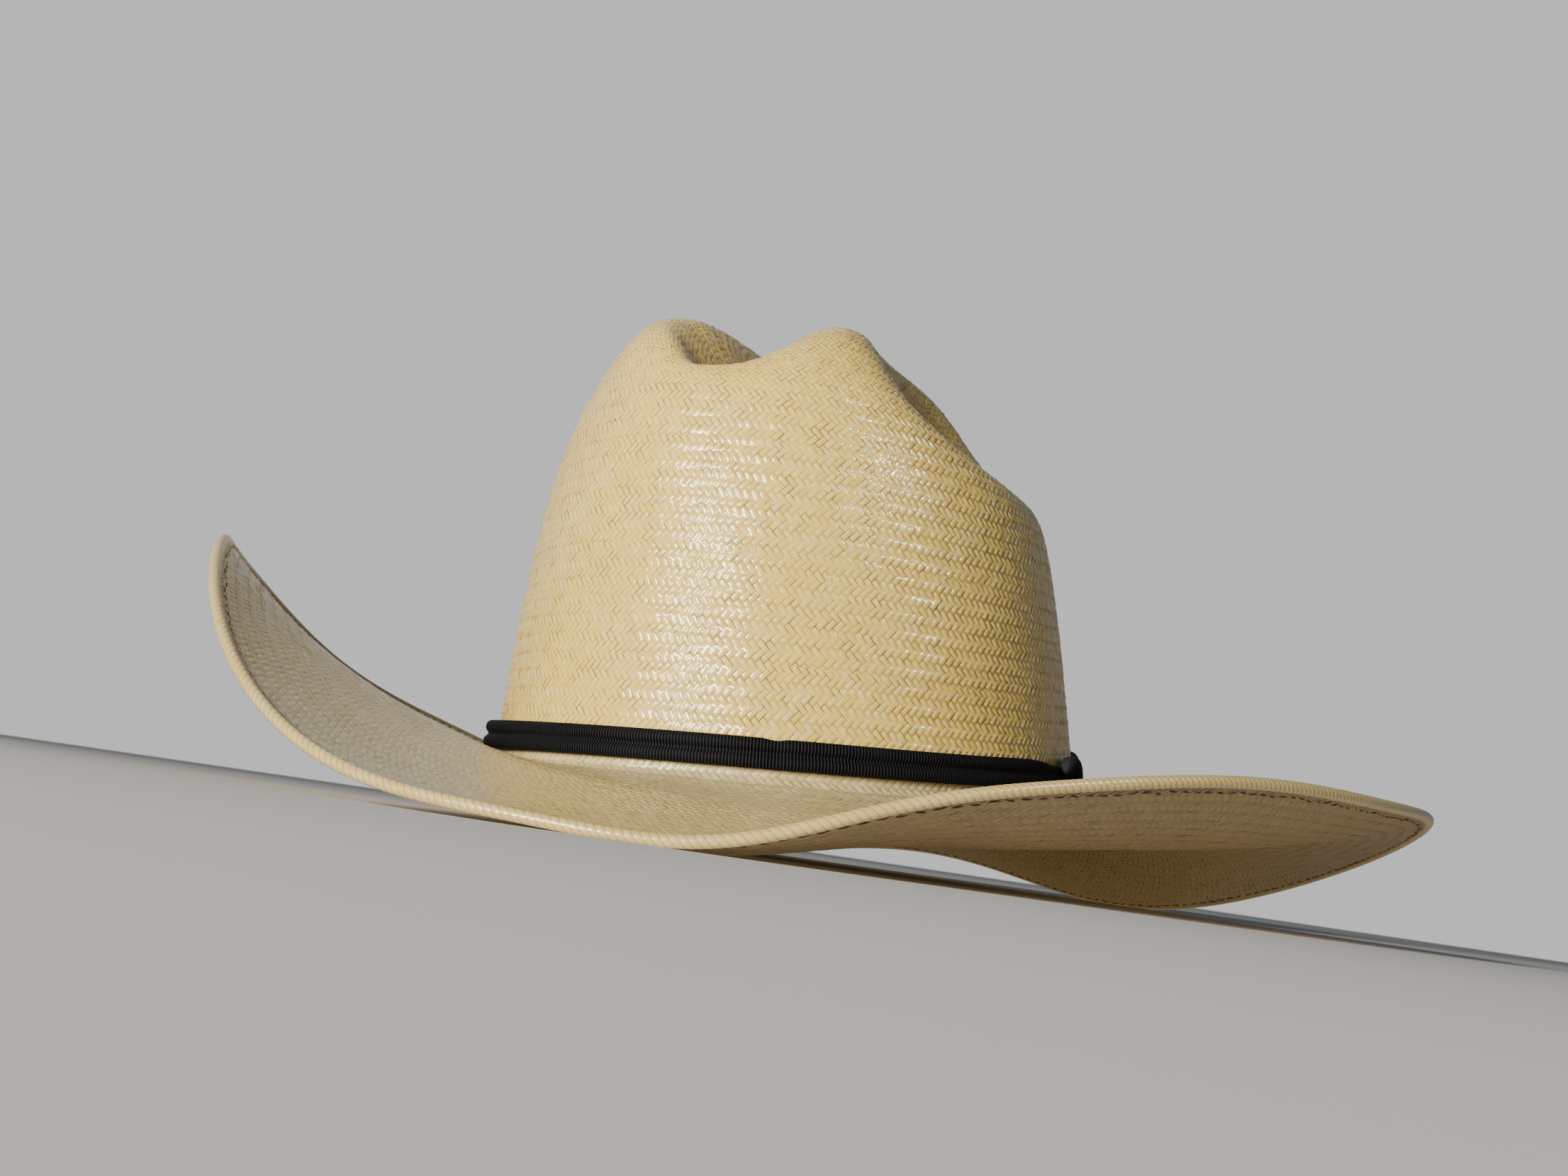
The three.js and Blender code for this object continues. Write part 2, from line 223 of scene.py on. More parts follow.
def surface_normal(surface, turn, value, most, sign):
    """Outward normal, measured from two short steps on the surface."""
    around, step = 0.01, most * 1e-4
    across = surface(turn + around, value) - surface(turn - around, value)
    along = surface(turn, np.minimum(value + step, most)) - surface(turn, np.maximum(value - step, 0.0))
    return unit(np.cross(across, sign * along))


def crown_face(turn, climb, lift):
    """The crown's outside, raised by lift."""
    normal = surface_normal(crown_point, turn, np.minimum(climb, NEAR_TOP), TOP_CLIMB, -1.0)
    return crown_point(turn, climb) + normal * np.reshape(lift, (-1, 1))


def brim_face(turn, share, side, lift):
    """The brim's top (side 1) or underside (side -1), raised by lift out of the straw."""
    normal = surface_normal(brim_point, turn, share, 1.0, 1.0)
    middle = -WALL / 2 + (BEAD / 2 + WALL / 2) * smooth(share / BRIM_SETTLE)
    offset = middle + side * (WALL / 2 + lift)
    return brim_point(turn, share) + normal * np.reshape(offset, (-1, 1))


print("brim is", brim_value(WIDTH, np.array([0.0, 90.0])).round(1), "mm wide at the front and the side")

# %% [markdown]
# ## How the hat lies
# When the hat is worn, the crown's foot is level, but on a table the hat rests on the front and the
# back of its brim. So each point made above is turned and moved in the same way as the solid was.

# %% From worn to lying
REST_PITCH = 6.24
REST_ROLL = -2.51
REST_SHIFT = np.array([-2.6826, 1.9770, 26.8778])  # millimetres
REST_TURN = np.array(
    Matrix.Rotation(math.radians(REST_ROLL), 3, "Y") @ Matrix.Rotation(math.radians(REST_PITCH), 3, "X")
)


def at_rest(points):
    """Points of the worn hat in millimetres, moved to where it lies, in metres."""
    placed = points @ REST_TURN.T + REST_SHIFT
    placed[:, 2] = np.maximum(placed[:, 2], 0.0)
    return placed * MM


print("the crown's foot lies", round(float(REST_SHIFT[2]), 1), "mm above the table")

# %% [markdown]
# ## Helpers
# Small helpers keep the next cells short. Some read and move the corners of a piece, so that a flat
# grid can be laid on a formula, and others repeat a piece, close its seams and turn its faces out.
# The last gives a finished piece its material and its place on the body.


# %% Helpers for wrapping and finishing
def select_only(*objects):
    bpy.ops.object.select_all(action="DESELECT")
    for obj in objects:
        obj.select_set(True)
    bpy.context.view_layer.objects.active = objects[0]


def corners_of(obj):
    flat = np.zeros(len(obj.data.vertices) * 3)
    obj.data.vertices.foreach_get("co", flat)
    return flat.reshape(-1, 3)


def move_corners(obj, points):
    obj.data.vertices.foreach_set("co", np.ascontiguousarray(points).ravel())
    obj.data.update()


SEAM_REACH = 4e-6  # metres between corners that are one corner
SOLID_SEAM_REACH = 1e-5  # the same on a knot or an end, whose corners lie farther apart
CORE_SEAM_REACH = 2e-5  # the same on the cloth's core


def close_seams(obj, reach=SEAM_REACH, turn_out=False):
    """Merges corners that meet, and can turn the faces of a closed piece outwards."""
    select_only(obj)
    bpy.ops.object.mode_set(mode="EDIT")
    bpy.ops.mesh.select_all(action="SELECT")
    bpy.ops.mesh.remove_doubles(threshold=reach)
    if turn_out:
        bpy.ops.mesh.select_all(action="SELECT")
        bpy.ops.mesh.normals_make_consistent(inside=False)
    bpy.ops.object.mode_set(mode="OBJECT")


def array_of(obj, count, step):
    """Repeats obj in a row with the Array modifier, and applies it."""
    select_only(obj)
    row = obj.modifiers.new("row", "ARRAY")
    row.count = count
    row.use_relative_offset = False
    row.use_constant_offset = True
    row.constant_offset_displace = step
    bpy.ops.object.modifier_apply(modifier=row.name)


def copy_of(obj, name):
    made = obj.copy()
    made.data = obj.data.copy()
    made.name = made.data.name = name
    bpy.context.scene.collection.objects.link(made)
    return made


def flat_grid(name, columns, rows):
    """A flat grid over the unit square, and the number of each corner's column and row."""
    bpy.ops.object.select_all(action="DESELECT")
    bpy.ops.mesh.primitive_grid_add(
        x_subdivisions=columns, y_subdivisions=rows, size=1, location=(0.5, 0.5, 0), calc_uvs=True
    )
    grid = bpy.context.object
    bpy.ops.object.transform_apply(location=True, rotation=True, scale=True)
    grid.name = grid.data.name = name
    place = corners_of(grid)
    return grid, np.round(place[:, 0] * columns).astype(int), np.round(place[:, 1] * rows).astype(int)


def finish_piece(obj, slot, material, *nodes):
    obj.data.materials.clear()
    obj.data.materials.append(material)
    select_only(obj)
    bpy.ops.object.shade_smooth()
    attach(obj, "root")
    if nodes:
        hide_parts(*nodes)
    obj.data.calc_loop_triangles()
    print(obj.name, len(obj.data.loop_triangles), "triangles")
    return obj


# %% [markdown]
# ## Straw: the shared effects
# The straws of this hat are flat strips with a stiff, glossy finish. No two strips have the same
# tint, fine fibres run along each, and where one dives under the next a thin brown line is painted:
# partly the joint between the strips, partly painted shade in the groove.
# All woven pieces share these effects, so they are one node group. It reads two UV maps: "along"
# says where a point is on its own strip, and "strip" which strip it is on.


# %% Node helpers and the strip group
def add_node(tree, kind, at, **settings):
    node = tree.nodes.new(kind)
    node.location = at
    for name, value in settings.items():
        setattr(node, name, value)
    return node


def new_group(name, inputs, outputs):
    """A shader node group with named sockets. Returns it with its input and output nodes."""
    tree = bpy.data.node_groups.new(name, "ShaderNodeTree")
    for label, kind, value in inputs:
        socket = tree.interface.new_socket(label, in_out="INPUT", socket_type=kind)
        if value is not None:
            socket.default_value = value
    for label, kind in outputs:
        tree.interface.new_socket(label, in_out="OUTPUT", socket_type=kind)
    return tree, add_node(tree, "NodeGroupInput", (-1300, 0)), add_node(tree, "NodeGroupOutput", (900, 0))


def new_material(name):
    """A material with its node tree and its Principled shader."""
    material = bpy.data.materials.new(name)
    material.use_nodes = True
    tree = material.node_tree
    return material, tree, tree.nodes["Principled BSDF"]


def add_bump(tree, shader, height, distance, strength=1.0, invert=False):
    """Tilts the shader's normals by a height that changes over the surface, distance in metres."""
    bump = add_node(tree, "ShaderNodeBump", (-300, -250), invert=invert)
    bump.inputs["Strength"].default_value = strength
    bump.inputs["Distance"].default_value = distance
    tree.links.new(height, bump.inputs["Height"])
    tree.links.new(bump.outputs["Normal"], shader.inputs["Normal"])


def math_node(tree, at, operation, a, b=None):
    node = add_node(tree, "ShaderNodeMath", at, operation=operation)
    for socket, value in zip(node.inputs, (a, b)):
        if isinstance(value, (int, float)):
            socket.default_value = value
        elif value is not None:
            tree.links.new(value, socket)
    return node.outputs[0]


def step_node(tree, at, value, low, high, to_low=0.0, to_high=1.0):
    """A soft step of value from low to high."""
    node = add_node(tree, "ShaderNodeMapRange", at, interpolation_type="SMOOTHSTEP")
    tree.links.new(value, node.inputs["Value"])
    for label, number in (("From Min", low), ("From Max", high), ("To Min", to_low), ("To Max", to_high)):
        node.inputs[label].default_value = number
    return node.outputs["Result"]


def mix_colours(tree, at, share, first, second):
    node = add_node(tree, "ShaderNodeMix", at, data_type="RGBA")
    for socket, value in ((node.inputs[0], share), (node.inputs[6], first), (node.inputs[7], second)):
        if isinstance(value, (int, float, tuple)):
            socket.default_value = value
        else:
            tree.links.new(value, socket)
    return node.outputs[2]


def noise_node(tree, at, vector, scale, detail=2.0):
    node = add_node(tree, "ShaderNodeTexNoise", at, noise_dimensions="3D")
    node.inputs["Scale"].default_value = scale
    node.inputs["Detail"].default_value = detail
    tree.links.new(vector, node.inputs["Vector"])
    return node.outputs["Fac"]


COLOUR, NUMBER = "NodeSocketColor", "NodeSocketFloat"
# The dark line at the ends and sides of a length is partly its joint and partly painted shade.
END_GAP = 0.045  # share of a length that is dark where it dives under the next
FIBRES = {"across": 9.0, "spread": 80.0, "scale": 1.6, "detail": 3.0, "tone": 0.34}
PATCH_SCALE = 22.0  # per metre, of the slow changes of tone over the hat
# A few strips are paler or greener than the rest: where a strip's chance number passes "from".
ODD_STRIPS = {"share": 0.5, "pale_from": 0.72, "green_from": 0.75, "full": 0.95}
ODD_COLOURS = {"pale": (0.86, 0.72, 0.42, 1), "green": (0.64, 0.56, 0.20, 1)}
# The gaps beside the strips, joints with painted shade in them, are dark in some places and nearly
# closed in others.
OPEN_GAPS = {"scale": 260.0, "from": 0.40, "full": 0.68, "least": 0.35}
STRIP_ROUGHNESS = {"least": 0.26, "fibres": 0.22}


def make_strip_group():
    tree, given, made = new_group(
        "straw strips",
        [
            ("Light", COLOUR, (0.80, 0.69, 0.45, 1)),
            ("Dark", COLOUR, (0.60, 0.46, 0.24, 1)),
            ("Gap", COLOUR, (0.12, 0.06, 0.02, 1)),
            ("Gap Width", NUMBER, 0.085),
            ("Variety", NUMBER, 0.6),
            ("Patches", NUMBER, 0.5),
            ("One Way", NUMBER, 0.0),
        ],
        [("Color", COLOUR), ("Roughness", NUMBER), ("Height", NUMBER)],
    )
    along = add_node(tree, "ShaderNodeUVMap", (-1300, -300), uv_map="along").outputs[0]
    strip = add_node(tree, "ShaderNodeUVMap", (-1300, -500), uv_map="strip").outputs[0]
    place = add_node(tree, "ShaderNodeTexCoord", (-1300, -700)).outputs["Object"]
    tone = add_node(tree, "ShaderNodeTexWhiteNoise", (-1050, -500), noise_dimensions="2D")
    tree.links.new(strip, tone.inputs["Vector"])
    tones = add_node(tree, "ShaderNodeSeparateColor", (-850, -500))
    tree.links.new(tone.outputs["Color"], tones.inputs["Color"])
    parts = add_node(tree, "ShaderNodeSeparateXYZ", (-1050, -300))
    tree.links.new(along, parts.inputs[0])
    length = math_node(tree, (-850, -250), "FRACT", parts.outputs[0])
    side = math_node(tree, (-850, -400), "PINGPONG", parts.outputs[1], 0.5)
    end = math_node(tree, (-650, -250), "PINGPONG", length, 0.5)
    side_face = step_node(tree, (-450, -350), side, 0.0, 1.0)
    tree.links.new(given.outputs["Gap Width"], side_face.node.inputs["From Max"])
    end_face = step_node(tree, (-450, -150), end, 0.0, END_GAP)
    face = math_node(tree, (-250, -250), "MULTIPLY", side_face, end_face)
    fibre_place = add_node(tree, "ShaderNodeCombineXYZ", (-650, -600))
    fibre_row = math_node(tree, (-850, -650), "MULTIPLY", parts.outputs[1], FIBRES["across"])
    fibre_seed = math_node(tree, (-850, -800), "MULTIPLY", tone.outputs["Value"], FIBRES["spread"])
    for socket, value in zip(fibre_place.inputs, (length, fibre_row, fibre_seed)):
        tree.links.new(value, socket)
    fibre = noise_node(tree, (-450, -600), fibre_place.outputs[0], FIBRES["scale"], FIBRES["detail"])
    patch = noise_node(tree, (-850, -950), place, PATCH_SCALE)
    strip_tone = math_node(tree, (-250, -500), "MULTIPLY", tones.outputs["Red"], given.outputs["Variety"])
    fibre_tone = math_node(tree, (-250, -650), "MULTIPLY", fibre, FIBRES["tone"])
    patch_tone = math_node(tree, (-650, -950), "SUBTRACT", patch, 0.5)
    patch_tone = math_node(tree, (-450, -900), "MULTIPLY", patch_tone, given.outputs["Patches"])
    total = math_node(tree, (-50, -550), "ADD", strip_tone, fibre_tone)
    total = math_node(tree, (120, -600), "ADD", total, patch_tone)
    tinted = mix_colours(tree, (150, -150), total, given.outputs["Light"], given.outputs["Dark"])
    for kind, channel, low in (("pale", "Green", -800), ("green", "Blue", -1000)):
        odd = ODD_STRIPS[kind + "_from"], ODD_STRIPS["full"], 0.0, ODD_STRIPS["share"]
        share = step_node(tree, (-50, low), tones.outputs[channel], *odd)
        share = math_node(tree, (130, low), "MULTIPLY", share, given.outputs["Variety"])
        tinted = mix_colours(tree, (320, low + 500), share, tinted, ODD_COLOURS[kind])
    open_here = noise_node(tree, (-850, -1150), place, OPEN_GAPS["scale"], 1.0)
    often = OPEN_GAPS["from"], OPEN_GAPS["full"], OPEN_GAPS["least"], 1.0
    open_here = step_node(tree, (-650, -1150), open_here, *often)
    falls = math_node(tree, (-850, -100), "GREATER_THAN", parts.outputs[0], 1.0)
    closed = math_node(tree, (-650, -50), "MULTIPLY", falls, given.outputs["One Way"])
    open_way = math_node(tree, (-450, -50), "SUBTRACT", 1.0, closed)
    open_here = math_node(tree, (-450, -1100), "MULTIPLY", open_here, open_way)
    # The gap colour paints the joints between strips together with painted shade in the grooves.
    gap_and_shade = mix_colours(tree, (490, -50), open_here, tinted, given.outputs["Gap"])
    coloured = mix_colours(tree, (660, -150), face, gap_and_shade, tinted)
    tree.links.new(coloured, made.inputs["Color"])
    rough = math_node(tree, (490, -600), "MULTIPLY_ADD", fibre, STRIP_ROUGHNESS["fibres"])
    rough.node.inputs[2].default_value = STRIP_ROUGHNESS["least"]
    tree.links.new(rough, made.inputs["Roughness"])
    tree.links.new(fibre, made.inputs["Height"])
    return tree


strip_group = make_strip_group()
print("strip group:", len(strip_group.nodes), "nodes")

# %% [markdown]
# The gloss stays in the material: a coat over the straw gives the sharp glints on each strip, and
# the straw under it is softer. The underside of the brim is duller, because less finish reaches it,
# and its much darker, browner colour and its wide, nearly black gaps are painted shade. One Way
# closes the gaps beside the falling strips there, so that mostly the lines of the rising strips show,
# as they do on the hat.


# %% Straw materials
def straw_material(name, light, dark, gap_and_shade, gap_width, variety, coat, one_way=0.0):
    material, tree, shader = new_material(name)
    group = add_node(tree, "ShaderNodeGroup", (-600, 0), node_tree=strip_group)
    for label, colour in (("Light", light), ("Dark", dark), ("Gap", gap_and_shade)):
        group.inputs[label].default_value = (*colour, 1)
    for label, value in (("Gap Width", gap_width), ("Variety", variety), ("One Way", one_way)):
        group.inputs[label].default_value = value
    tree.links.new(group.outputs["Color"], shader.inputs["Base Color"])
    tree.links.new(group.outputs["Roughness"], shader.inputs["Roughness"])
    add_bump(tree, shader, group.outputs["Height"], distance=0.00012, strength=0.5)
    shader.inputs["Coat Weight"].default_value = coat
    shader.inputs["Coat Roughness"].default_value = 0.10
    shader.inputs["Specular IOR Level"].default_value = 0.3
    return material


crown_straw = straw_material(
    "crown straw",
    light=(0.90, 0.67, 0.18),
    dark=(0.77, 0.53, 0.105),
    gap_and_shade=(0.11, 0.06, 0.017),
    gap_width=0.16,
    variety=0.7,
    coat=0.9,
)
# The brim's top is the crown's cloth, painted darker and greyer than the crown: partly painted shade.
top_straw_part_painted_shade = straw_material(
    "brim top straw part painted shade",
    light=(0.60, 0.50, 0.27),
    dark=(0.46, 0.37, 0.18),
    gap_and_shade=(0.19, 0.12, 0.055),
    gap_width=0.09,
    variety=0.6,
    coat=0.5,
)
# The same cloth below the brim, painted much darker and browner: painted shade under the brim.
under_straw_painted_shade = straw_material(
    "brim underside straw painted shade",
    light=(0.32, 0.215, 0.082),
    dark=(0.27, 0.17, 0.058),
    gap_and_shade=(0.02, 0.01, 0.004),
    gap_width=0.22,
    variety=0.14,
    coat=0.2,
    one_way=0.85,
)
print("straw materials:", crown_straw.name, top_straw_part_painted_shade.name, under_straw_painted_shade.name)

# %% [markdown]
# ## One visible length of straw
# The cloth is a twill: every strip goes over two others and then under two. So all that shows is
# one short length of strip, again and again, in two directions. It is modelled once, as a square
# that is inset and raised, with one more corner in each long side, where its neighbours' corners
# touch. Its twelve triangles catch the light as a pillow, which a bump map wouldn't do at an outline.

# %% Model one length
STRAW_RISE = 0.22  # millimetres, from the groove to the face of the straw
RIM = 0.16  # share of the square that slopes down at each side


def make_length():
    bpy.ops.object.select_all(action="DESELECT")
    bpy.ops.mesh.primitive_plane_add(size=1, location=(0.5, 0.5, 0))
    straw = bpy.context.object
    bpy.ops.object.transform_apply(location=True, rotation=True, scale=True)
    bpy.ops.object.mode_set(mode="EDIT")
    bpy.ops.mesh.select_all(action="SELECT")
    bpy.ops.mesh.inset(thickness=RIM, depth=0)
    bpy.ops.transform.translate(value=(0, 0, STRAW_RISE))
    bpy.ops.mesh.select_mode(type="EDGE")
    bpy.ops.mesh.select_all(action="DESELECT")
    bpy.ops.object.mode_set(mode="OBJECT")
    for edge in straw.data.edges:
        start, end = (straw.data.vertices[i].co for i in edge.vertices)
        edge.select = max(start.z, end.z) < 0.01 and abs(start.y - end.y) < 0.01
    bpy.ops.object.mode_set(mode="EDIT")
    bpy.ops.mesh.subdivide(number_cuts=1)
    bpy.ops.mesh.select_mode(type="VERT")
    bpy.ops.object.mode_set(mode="OBJECT")
    straw.data.uv_layers[0].name = "along"
    return straw


straw_length = make_length()
straw_length.data.calc_loop_triangles()
print("one length of straw:", len(straw_length.data.loop_triangles), "triangles")

# %% [markdown]
# ## One cell of the weave
# On a lattice of columns and rows, a length of the rising strips covers the parallelogram from a
# corner along (1, 2) and across (-1/2, 1). A length of the falling strips fills the rest of the
# cell. One column wide and four rows high, the two together repeat without a gap.

# %% Put two lengths together as a cell
ROWS_PER_CELL = 4
RISING = {"corner": (0.0, 0.0), "along": (1.0, 2.0), "across": (-0.5, 1.0)}
FALLING = {"corner": (0.5, 3.0), "along": (-1.0, 2.0), "across": (-0.5, -1.0)}


def placed_length(lattice, kind):
    """A copy of the length on its parallelogram. kind is kept in the whole part of the UV."""
    straw = copy_of(straw_length, "length")
    (cx, cy), (ax, ay), (bx, by) = lattice["corner"], lattice["along"], lattice["across"]
    straw.data.transform(Matrix(((ax, bx, 0, cx), (ay, by, 0, cy), (0, 0, 1, 0), (0, 0, 0, 1))))
    uv = np.zeros(len(straw.data.loops) * 2)
    layer = straw.data.uv_layers["along"].data
    layer.foreach_get("uv", uv)
    uv = uv.reshape(-1, 2) * (0.998, 1.0) + (kind + 0.001, 0.0)
    layer.foreach_set("uv", uv.ravel())
    return straw


def make_cell():
    rising, falling = placed_length(RISING, 0), placed_length(FALLING, 1)
    select_only(rising, falling)
    bpy.ops.object.join()
    rising.name = rising.data.name = "weave_cell"
    return rising


weave_cell = make_cell()
bpy.data.objects.remove(straw_length)
print("weave cell:", len(weave_cell.data.polygons), "faces")

# %% [markdown]
# ## From a cell to a ring of cloth
# A column of cells is repeated upwards, cut off straight at both ends with bisect, and then repeated
# sideways. A hat maker adds straws as the cloth grows wider, so a piece is several rings, each with
# its own number of columns. Last, every corner is laid on the hat: its column becomes a turn, its row
# a place up the crown or out on the brim, and its height a lift above the surface.


# %% Make rings of cloth and lay them on the hat
STRIP_STEP, FALLING_SHIFT, RING_SHIFT = 0.173, 0.37, 0.31  # odd steps keep the strips' numbers apart


def strip_numbers(obj, first_number):
    """Gives each length the number of its strip, so that it has the same tint all along."""
    mesh = obj.data
    count = len(mesh.polygons)
    centre, start, total = np.zeros(count * 3), np.zeros(count, int), np.zeros(count, int)
    mesh.polygons.foreach_get("center", centre)
    mesh.polygons.foreach_get("loop_start", start)
    mesh.polygons.foreach_get("loop_total", total)
    uv = np.zeros(len(mesh.loops) * 2)
    mesh.uv_layers["along"].data.foreach_get("uv", uv)
    falls = uv.reshape(-1, 2)[start, 0] >= 1.0
    column, half_row = centre.reshape(-1, 3)[:, 0], centre.reshape(-1, 3)[:, 1] / 2.0
    number = np.where(falls, np.floor(half_row + column), np.floor(half_row - column) + FALLING_SHIFT)
    layer = mesh.uv_layers.new(name="strip")
    values = np.stack([number * STRIP_STEP + first_number, falls + 0.5 + first_number * RING_SHIFT], -1)
    layer.data.foreach_set("uv", np.repeat(values, total, axis=0).ravel())


def cloth_ring(columns, first_row, last_row, number):
    ring = copy_of(weave_cell, "ring")
    low = ROWS_PER_CELL * math.floor(first_row / ROWS_PER_CELL) - ROWS_PER_CELL
    ring.data.transform(Matrix.Translation((0, low, 0)))
    array_of(ring, math.ceil((last_row - low) / ROWS_PER_CELL) + 1, (0, ROWS_PER_CELL, 0))
    bpy.ops.object.mode_set(mode="EDIT")
    for row, inner in ((first_row, True), (last_row, False)):
        bpy.ops.mesh.select_all(action="SELECT")
        bpy.ops.mesh.bisect(
            plane_co=(0, row, 0), plane_no=(0, 1, 0), clear_inner=inner, clear_outer=not inner
        )
    bpy.ops.object.mode_set(mode="OBJECT")
    array_of(ring, columns, (1, 0, 0))
    strip_numbers(ring, number)
    return ring


UNEVEN = 0.09  # millimetres, how much the corners of a straw's face differ in height
UNEVEN_SEED = 11
SEAM_LIFT = 0.6 * STRAW_RISE  # where rings meet
ON_CUT = 1e-4  # rows, how near a corner is to the cut to count as on it


def woven_piece(name, rings, turn_sign, lay, relief):
    """rings is a list of (columns, first row, last row). lay(turn, row, lift) gives the points."""
    parts = []
    chance = np.random.default_rng(UNEVEN_SEED)
    for number, (columns, first_row, last_row) in enumerate(rings):
        part = cloth_ring(columns, first_row, last_row, number)
        flat = corners_of(part)
        cut = (np.abs(flat[:, 1] - first_row) < ON_CUT) | (np.abs(flat[:, 1] - last_row) < ON_CUT)
        lift = np.where(flat[:, 2] > 0.0, flat[:, 2] + chance.normal(0.0, UNEVEN, len(flat)), 0.0)
        lift = np.where(cut, SEAM_LIFT, lift) * relief
        turn = turn_sign * 360.0 * flat[:, 0] / columns
        move_corners(part, at_rest(lay(turn, flat[:, 1], lift)))
        parts.append(part)
    select_only(*parts)
    if len(parts) > 1:
        bpy.ops.object.join()
    piece = parts[0]
    piece.name = piece.data.name = name
    close_seams(piece)
    return piece


# %% [markdown]
# ## The woven crown
# The rows are 1.2 mm apart along the straw. To know where each row lies, the way up the crown is
# measured on average all round. The table then gives the rings from the foot to the middle of the
# top, where the cloth of a real hat starts from a few crossed straws. The lowest rows and the bend
# into the brim are a piece of their own, because they take the brim's top straw, whose darker,
# greyer colour is partly painted shade.

# %% Weave the crown
ROW = 1.2  # millimetres
GROOVE = -0.12  # the grooves lie this far under the solid's surface, and the straws rise above it
FOOT_BEND = 2.0  # rows on each side of the corner between the crown and the brim
BRIM_ROWS = 84
BRIM_LAST_SHARE = 0.984


def rows_up_the_crown():
    climbs = np.unique(np.concatenate([climb_at(np.linspace(0, 0.96, 400)), np.linspace(70, 90, 200)]))
    turns = np.arange(0.0, 360.0, 5.0)
    points = np.array([crown_point(turns, np.full_like(turns, climb)) for climb in climbs])
    steps = np.linalg.norm(np.diff(points, axis=0), axis=-1).mean(1)
    return climbs, np.concatenate([[0.0], np.cumsum(steps)]) / ROW


crown_climbs, crown_rows = rows_up_the_crown()
CROWN_TOP_ROW = crown_rows[-1]
print("rows from the foot to the middle of the top:", round(float(CROWN_TOP_ROW), 1))


def ring_columns(row):
    """How many columns 2.4 mm wide fit round the crown at a row."""
    turns = np.linspace(0.0, 360.0, 181)
    points = crown_point(turns, np.full_like(turns, np.interp(row, crown_rows, crown_climbs)))
    return np.linalg.norm(np.diff(points, axis=0), axis=-1).sum() / (2 * ROW)


print("columns needed by row:", [(row, round(ring_columns(row))) for row in range(0, int(CROWN_TOP_ROW), 8)])


def lay_on_brim(side):
    def lay(turn, row, lift):
        share = np.clip(row / BRIM_ROWS, 0.0, 1.0) * BRIM_LAST_SHARE
        return brim_face(turn, share, side, GROOVE + lift)

    return lay


def lay_on_crown(turn, row, lift):
    """Up the crown. Near the foot a soft bend leads from the brim's top (row -2) to the wall (row 2)."""
    wall = crown_face(turn, np.interp(np.maximum(row, FOOT_BEND), crown_rows, crown_climbs), GROOVE + lift)
    low = lay_on_brim(1)(turn, np.full_like(turn, FOOT_BEND), lift)
    at_foot = np.zeros_like(turn)
    corner = crown_face(turn, at_foot, GROOVE + lift)
    corner = corner + lay_on_brim(1)(turn, at_foot, lift) - brim_point(turn, at_foot)
    way = np.minimum((row + FOOT_BEND) / (2 * FOOT_BEND), 1.0)[:, None]
    return (1 - way) ** 2 * low + 2 * way * (1 - way) * corner + way**2 * wall


CROWN_RELIEF = 0.85  # share of the straw's full rise, because pressing flattens the cloth
FOOT_RINGS = [(236, -2, 6)]
CROWN_RINGS = [
    (236, 6, 24),
    (225, 24, 48),
    (209, 48, 72),
    (194, 72, 96),
    (186, 96, 110),
    (160, 110, 120),
    (130, 120, 132),
    (94, 132, 141),
    (64, 141, 148),
    (42, 148, 153),
    (26, 153, 157),
    (14, 157, 161),
    (7, 161, CROWN_TOP_ROW),
]
crown_weave = woven_piece("crown_weave", CROWN_RINGS, -1.0, lay_on_crown, CROWN_RELIEF)
finish_piece(crown_weave, "woven_straw", crown_straw)
foot_weave = woven_piece("crown_foot_weave", FOOT_RINGS, -1.0, lay_on_crown, CROWN_RELIEF)
finish_piece(foot_weave, "woven_straw", top_straw_part_painted_shade)

# %% [markdown]
# ## The woven brim
# The brim is the same cloth, seen from above and from below, and pressed flatter than the crown. It
# has nearly twice as many columns at its edge as at its foot, so it is six rings, and the underside
# has a narrow one more at the foot. The last row ends under the rolled edge.

# %% Weave the brim's top and underside
TOP_RELIEF, UNDER_RELIEF = 0.55, 0.5
BRIM_RINGS = [
    (246, 2, 12),
    (282, 12, 26),
    (324, 26, 40),
    (366, 40, 54),
    (414, 54, 69),
    (462, 69, 84),
]


brim_top_weave = woven_piece("brim_top_weave", BRIM_RINGS, 1.0, lay_on_brim(1), TOP_RELIEF)
finish_piece(brim_top_weave, "woven_straw", top_straw_part_painted_shade)
under_rings = [(240, 0, 2), *BRIM_RINGS]
brim_under_weave = woven_piece("brim_under_weave", under_rings, -1.0, lay_on_brim(-1), UNDER_RELIEF)
finish_piece(brim_under_weave, "woven_straw", under_straw_painted_shade)

# %% [markdown]
# ## The cloth's core
# Between the straws that show there are others behind them. A smooth closed shell just under the
# grooves stands for them, and it is also the inside of the crown, which a wearer sees. A grid is laid
# down the outside, round the edge of the brim and back up inside, and its seams are closed.

# %% Make the core
CORE_SINK = 0.42  # millimetres under the solid's surface
CORE_AROUND = 180
CORE_RINGS = {"outside": 66, "brim": 34, "inside": 56}


def core_rings():
    """(kind, value) for each ring, from the middle of the top down the outside and up the inside."""
    down = np.linspace(CROWN_TOP_ROW, 0, CORE_RINGS["outside"])
    up = np.linspace(0, CROWN_TOP_ROW, CORE_RINGS["inside"])
    outside = [("out", climb) for climb in np.interp(down, crown_rows, crown_climbs)]
    top = [("top", share) for share in np.linspace(0.01, 0.985, CORE_RINGS["brim"])]
    under = [("under", share) for share in np.linspace(0.985, 0.015, CORE_RINGS["brim"])]
    inside = [("in", climb) for climb in np.interp(up, crown_rows, crown_climbs)]
    return outside + top + under + inside


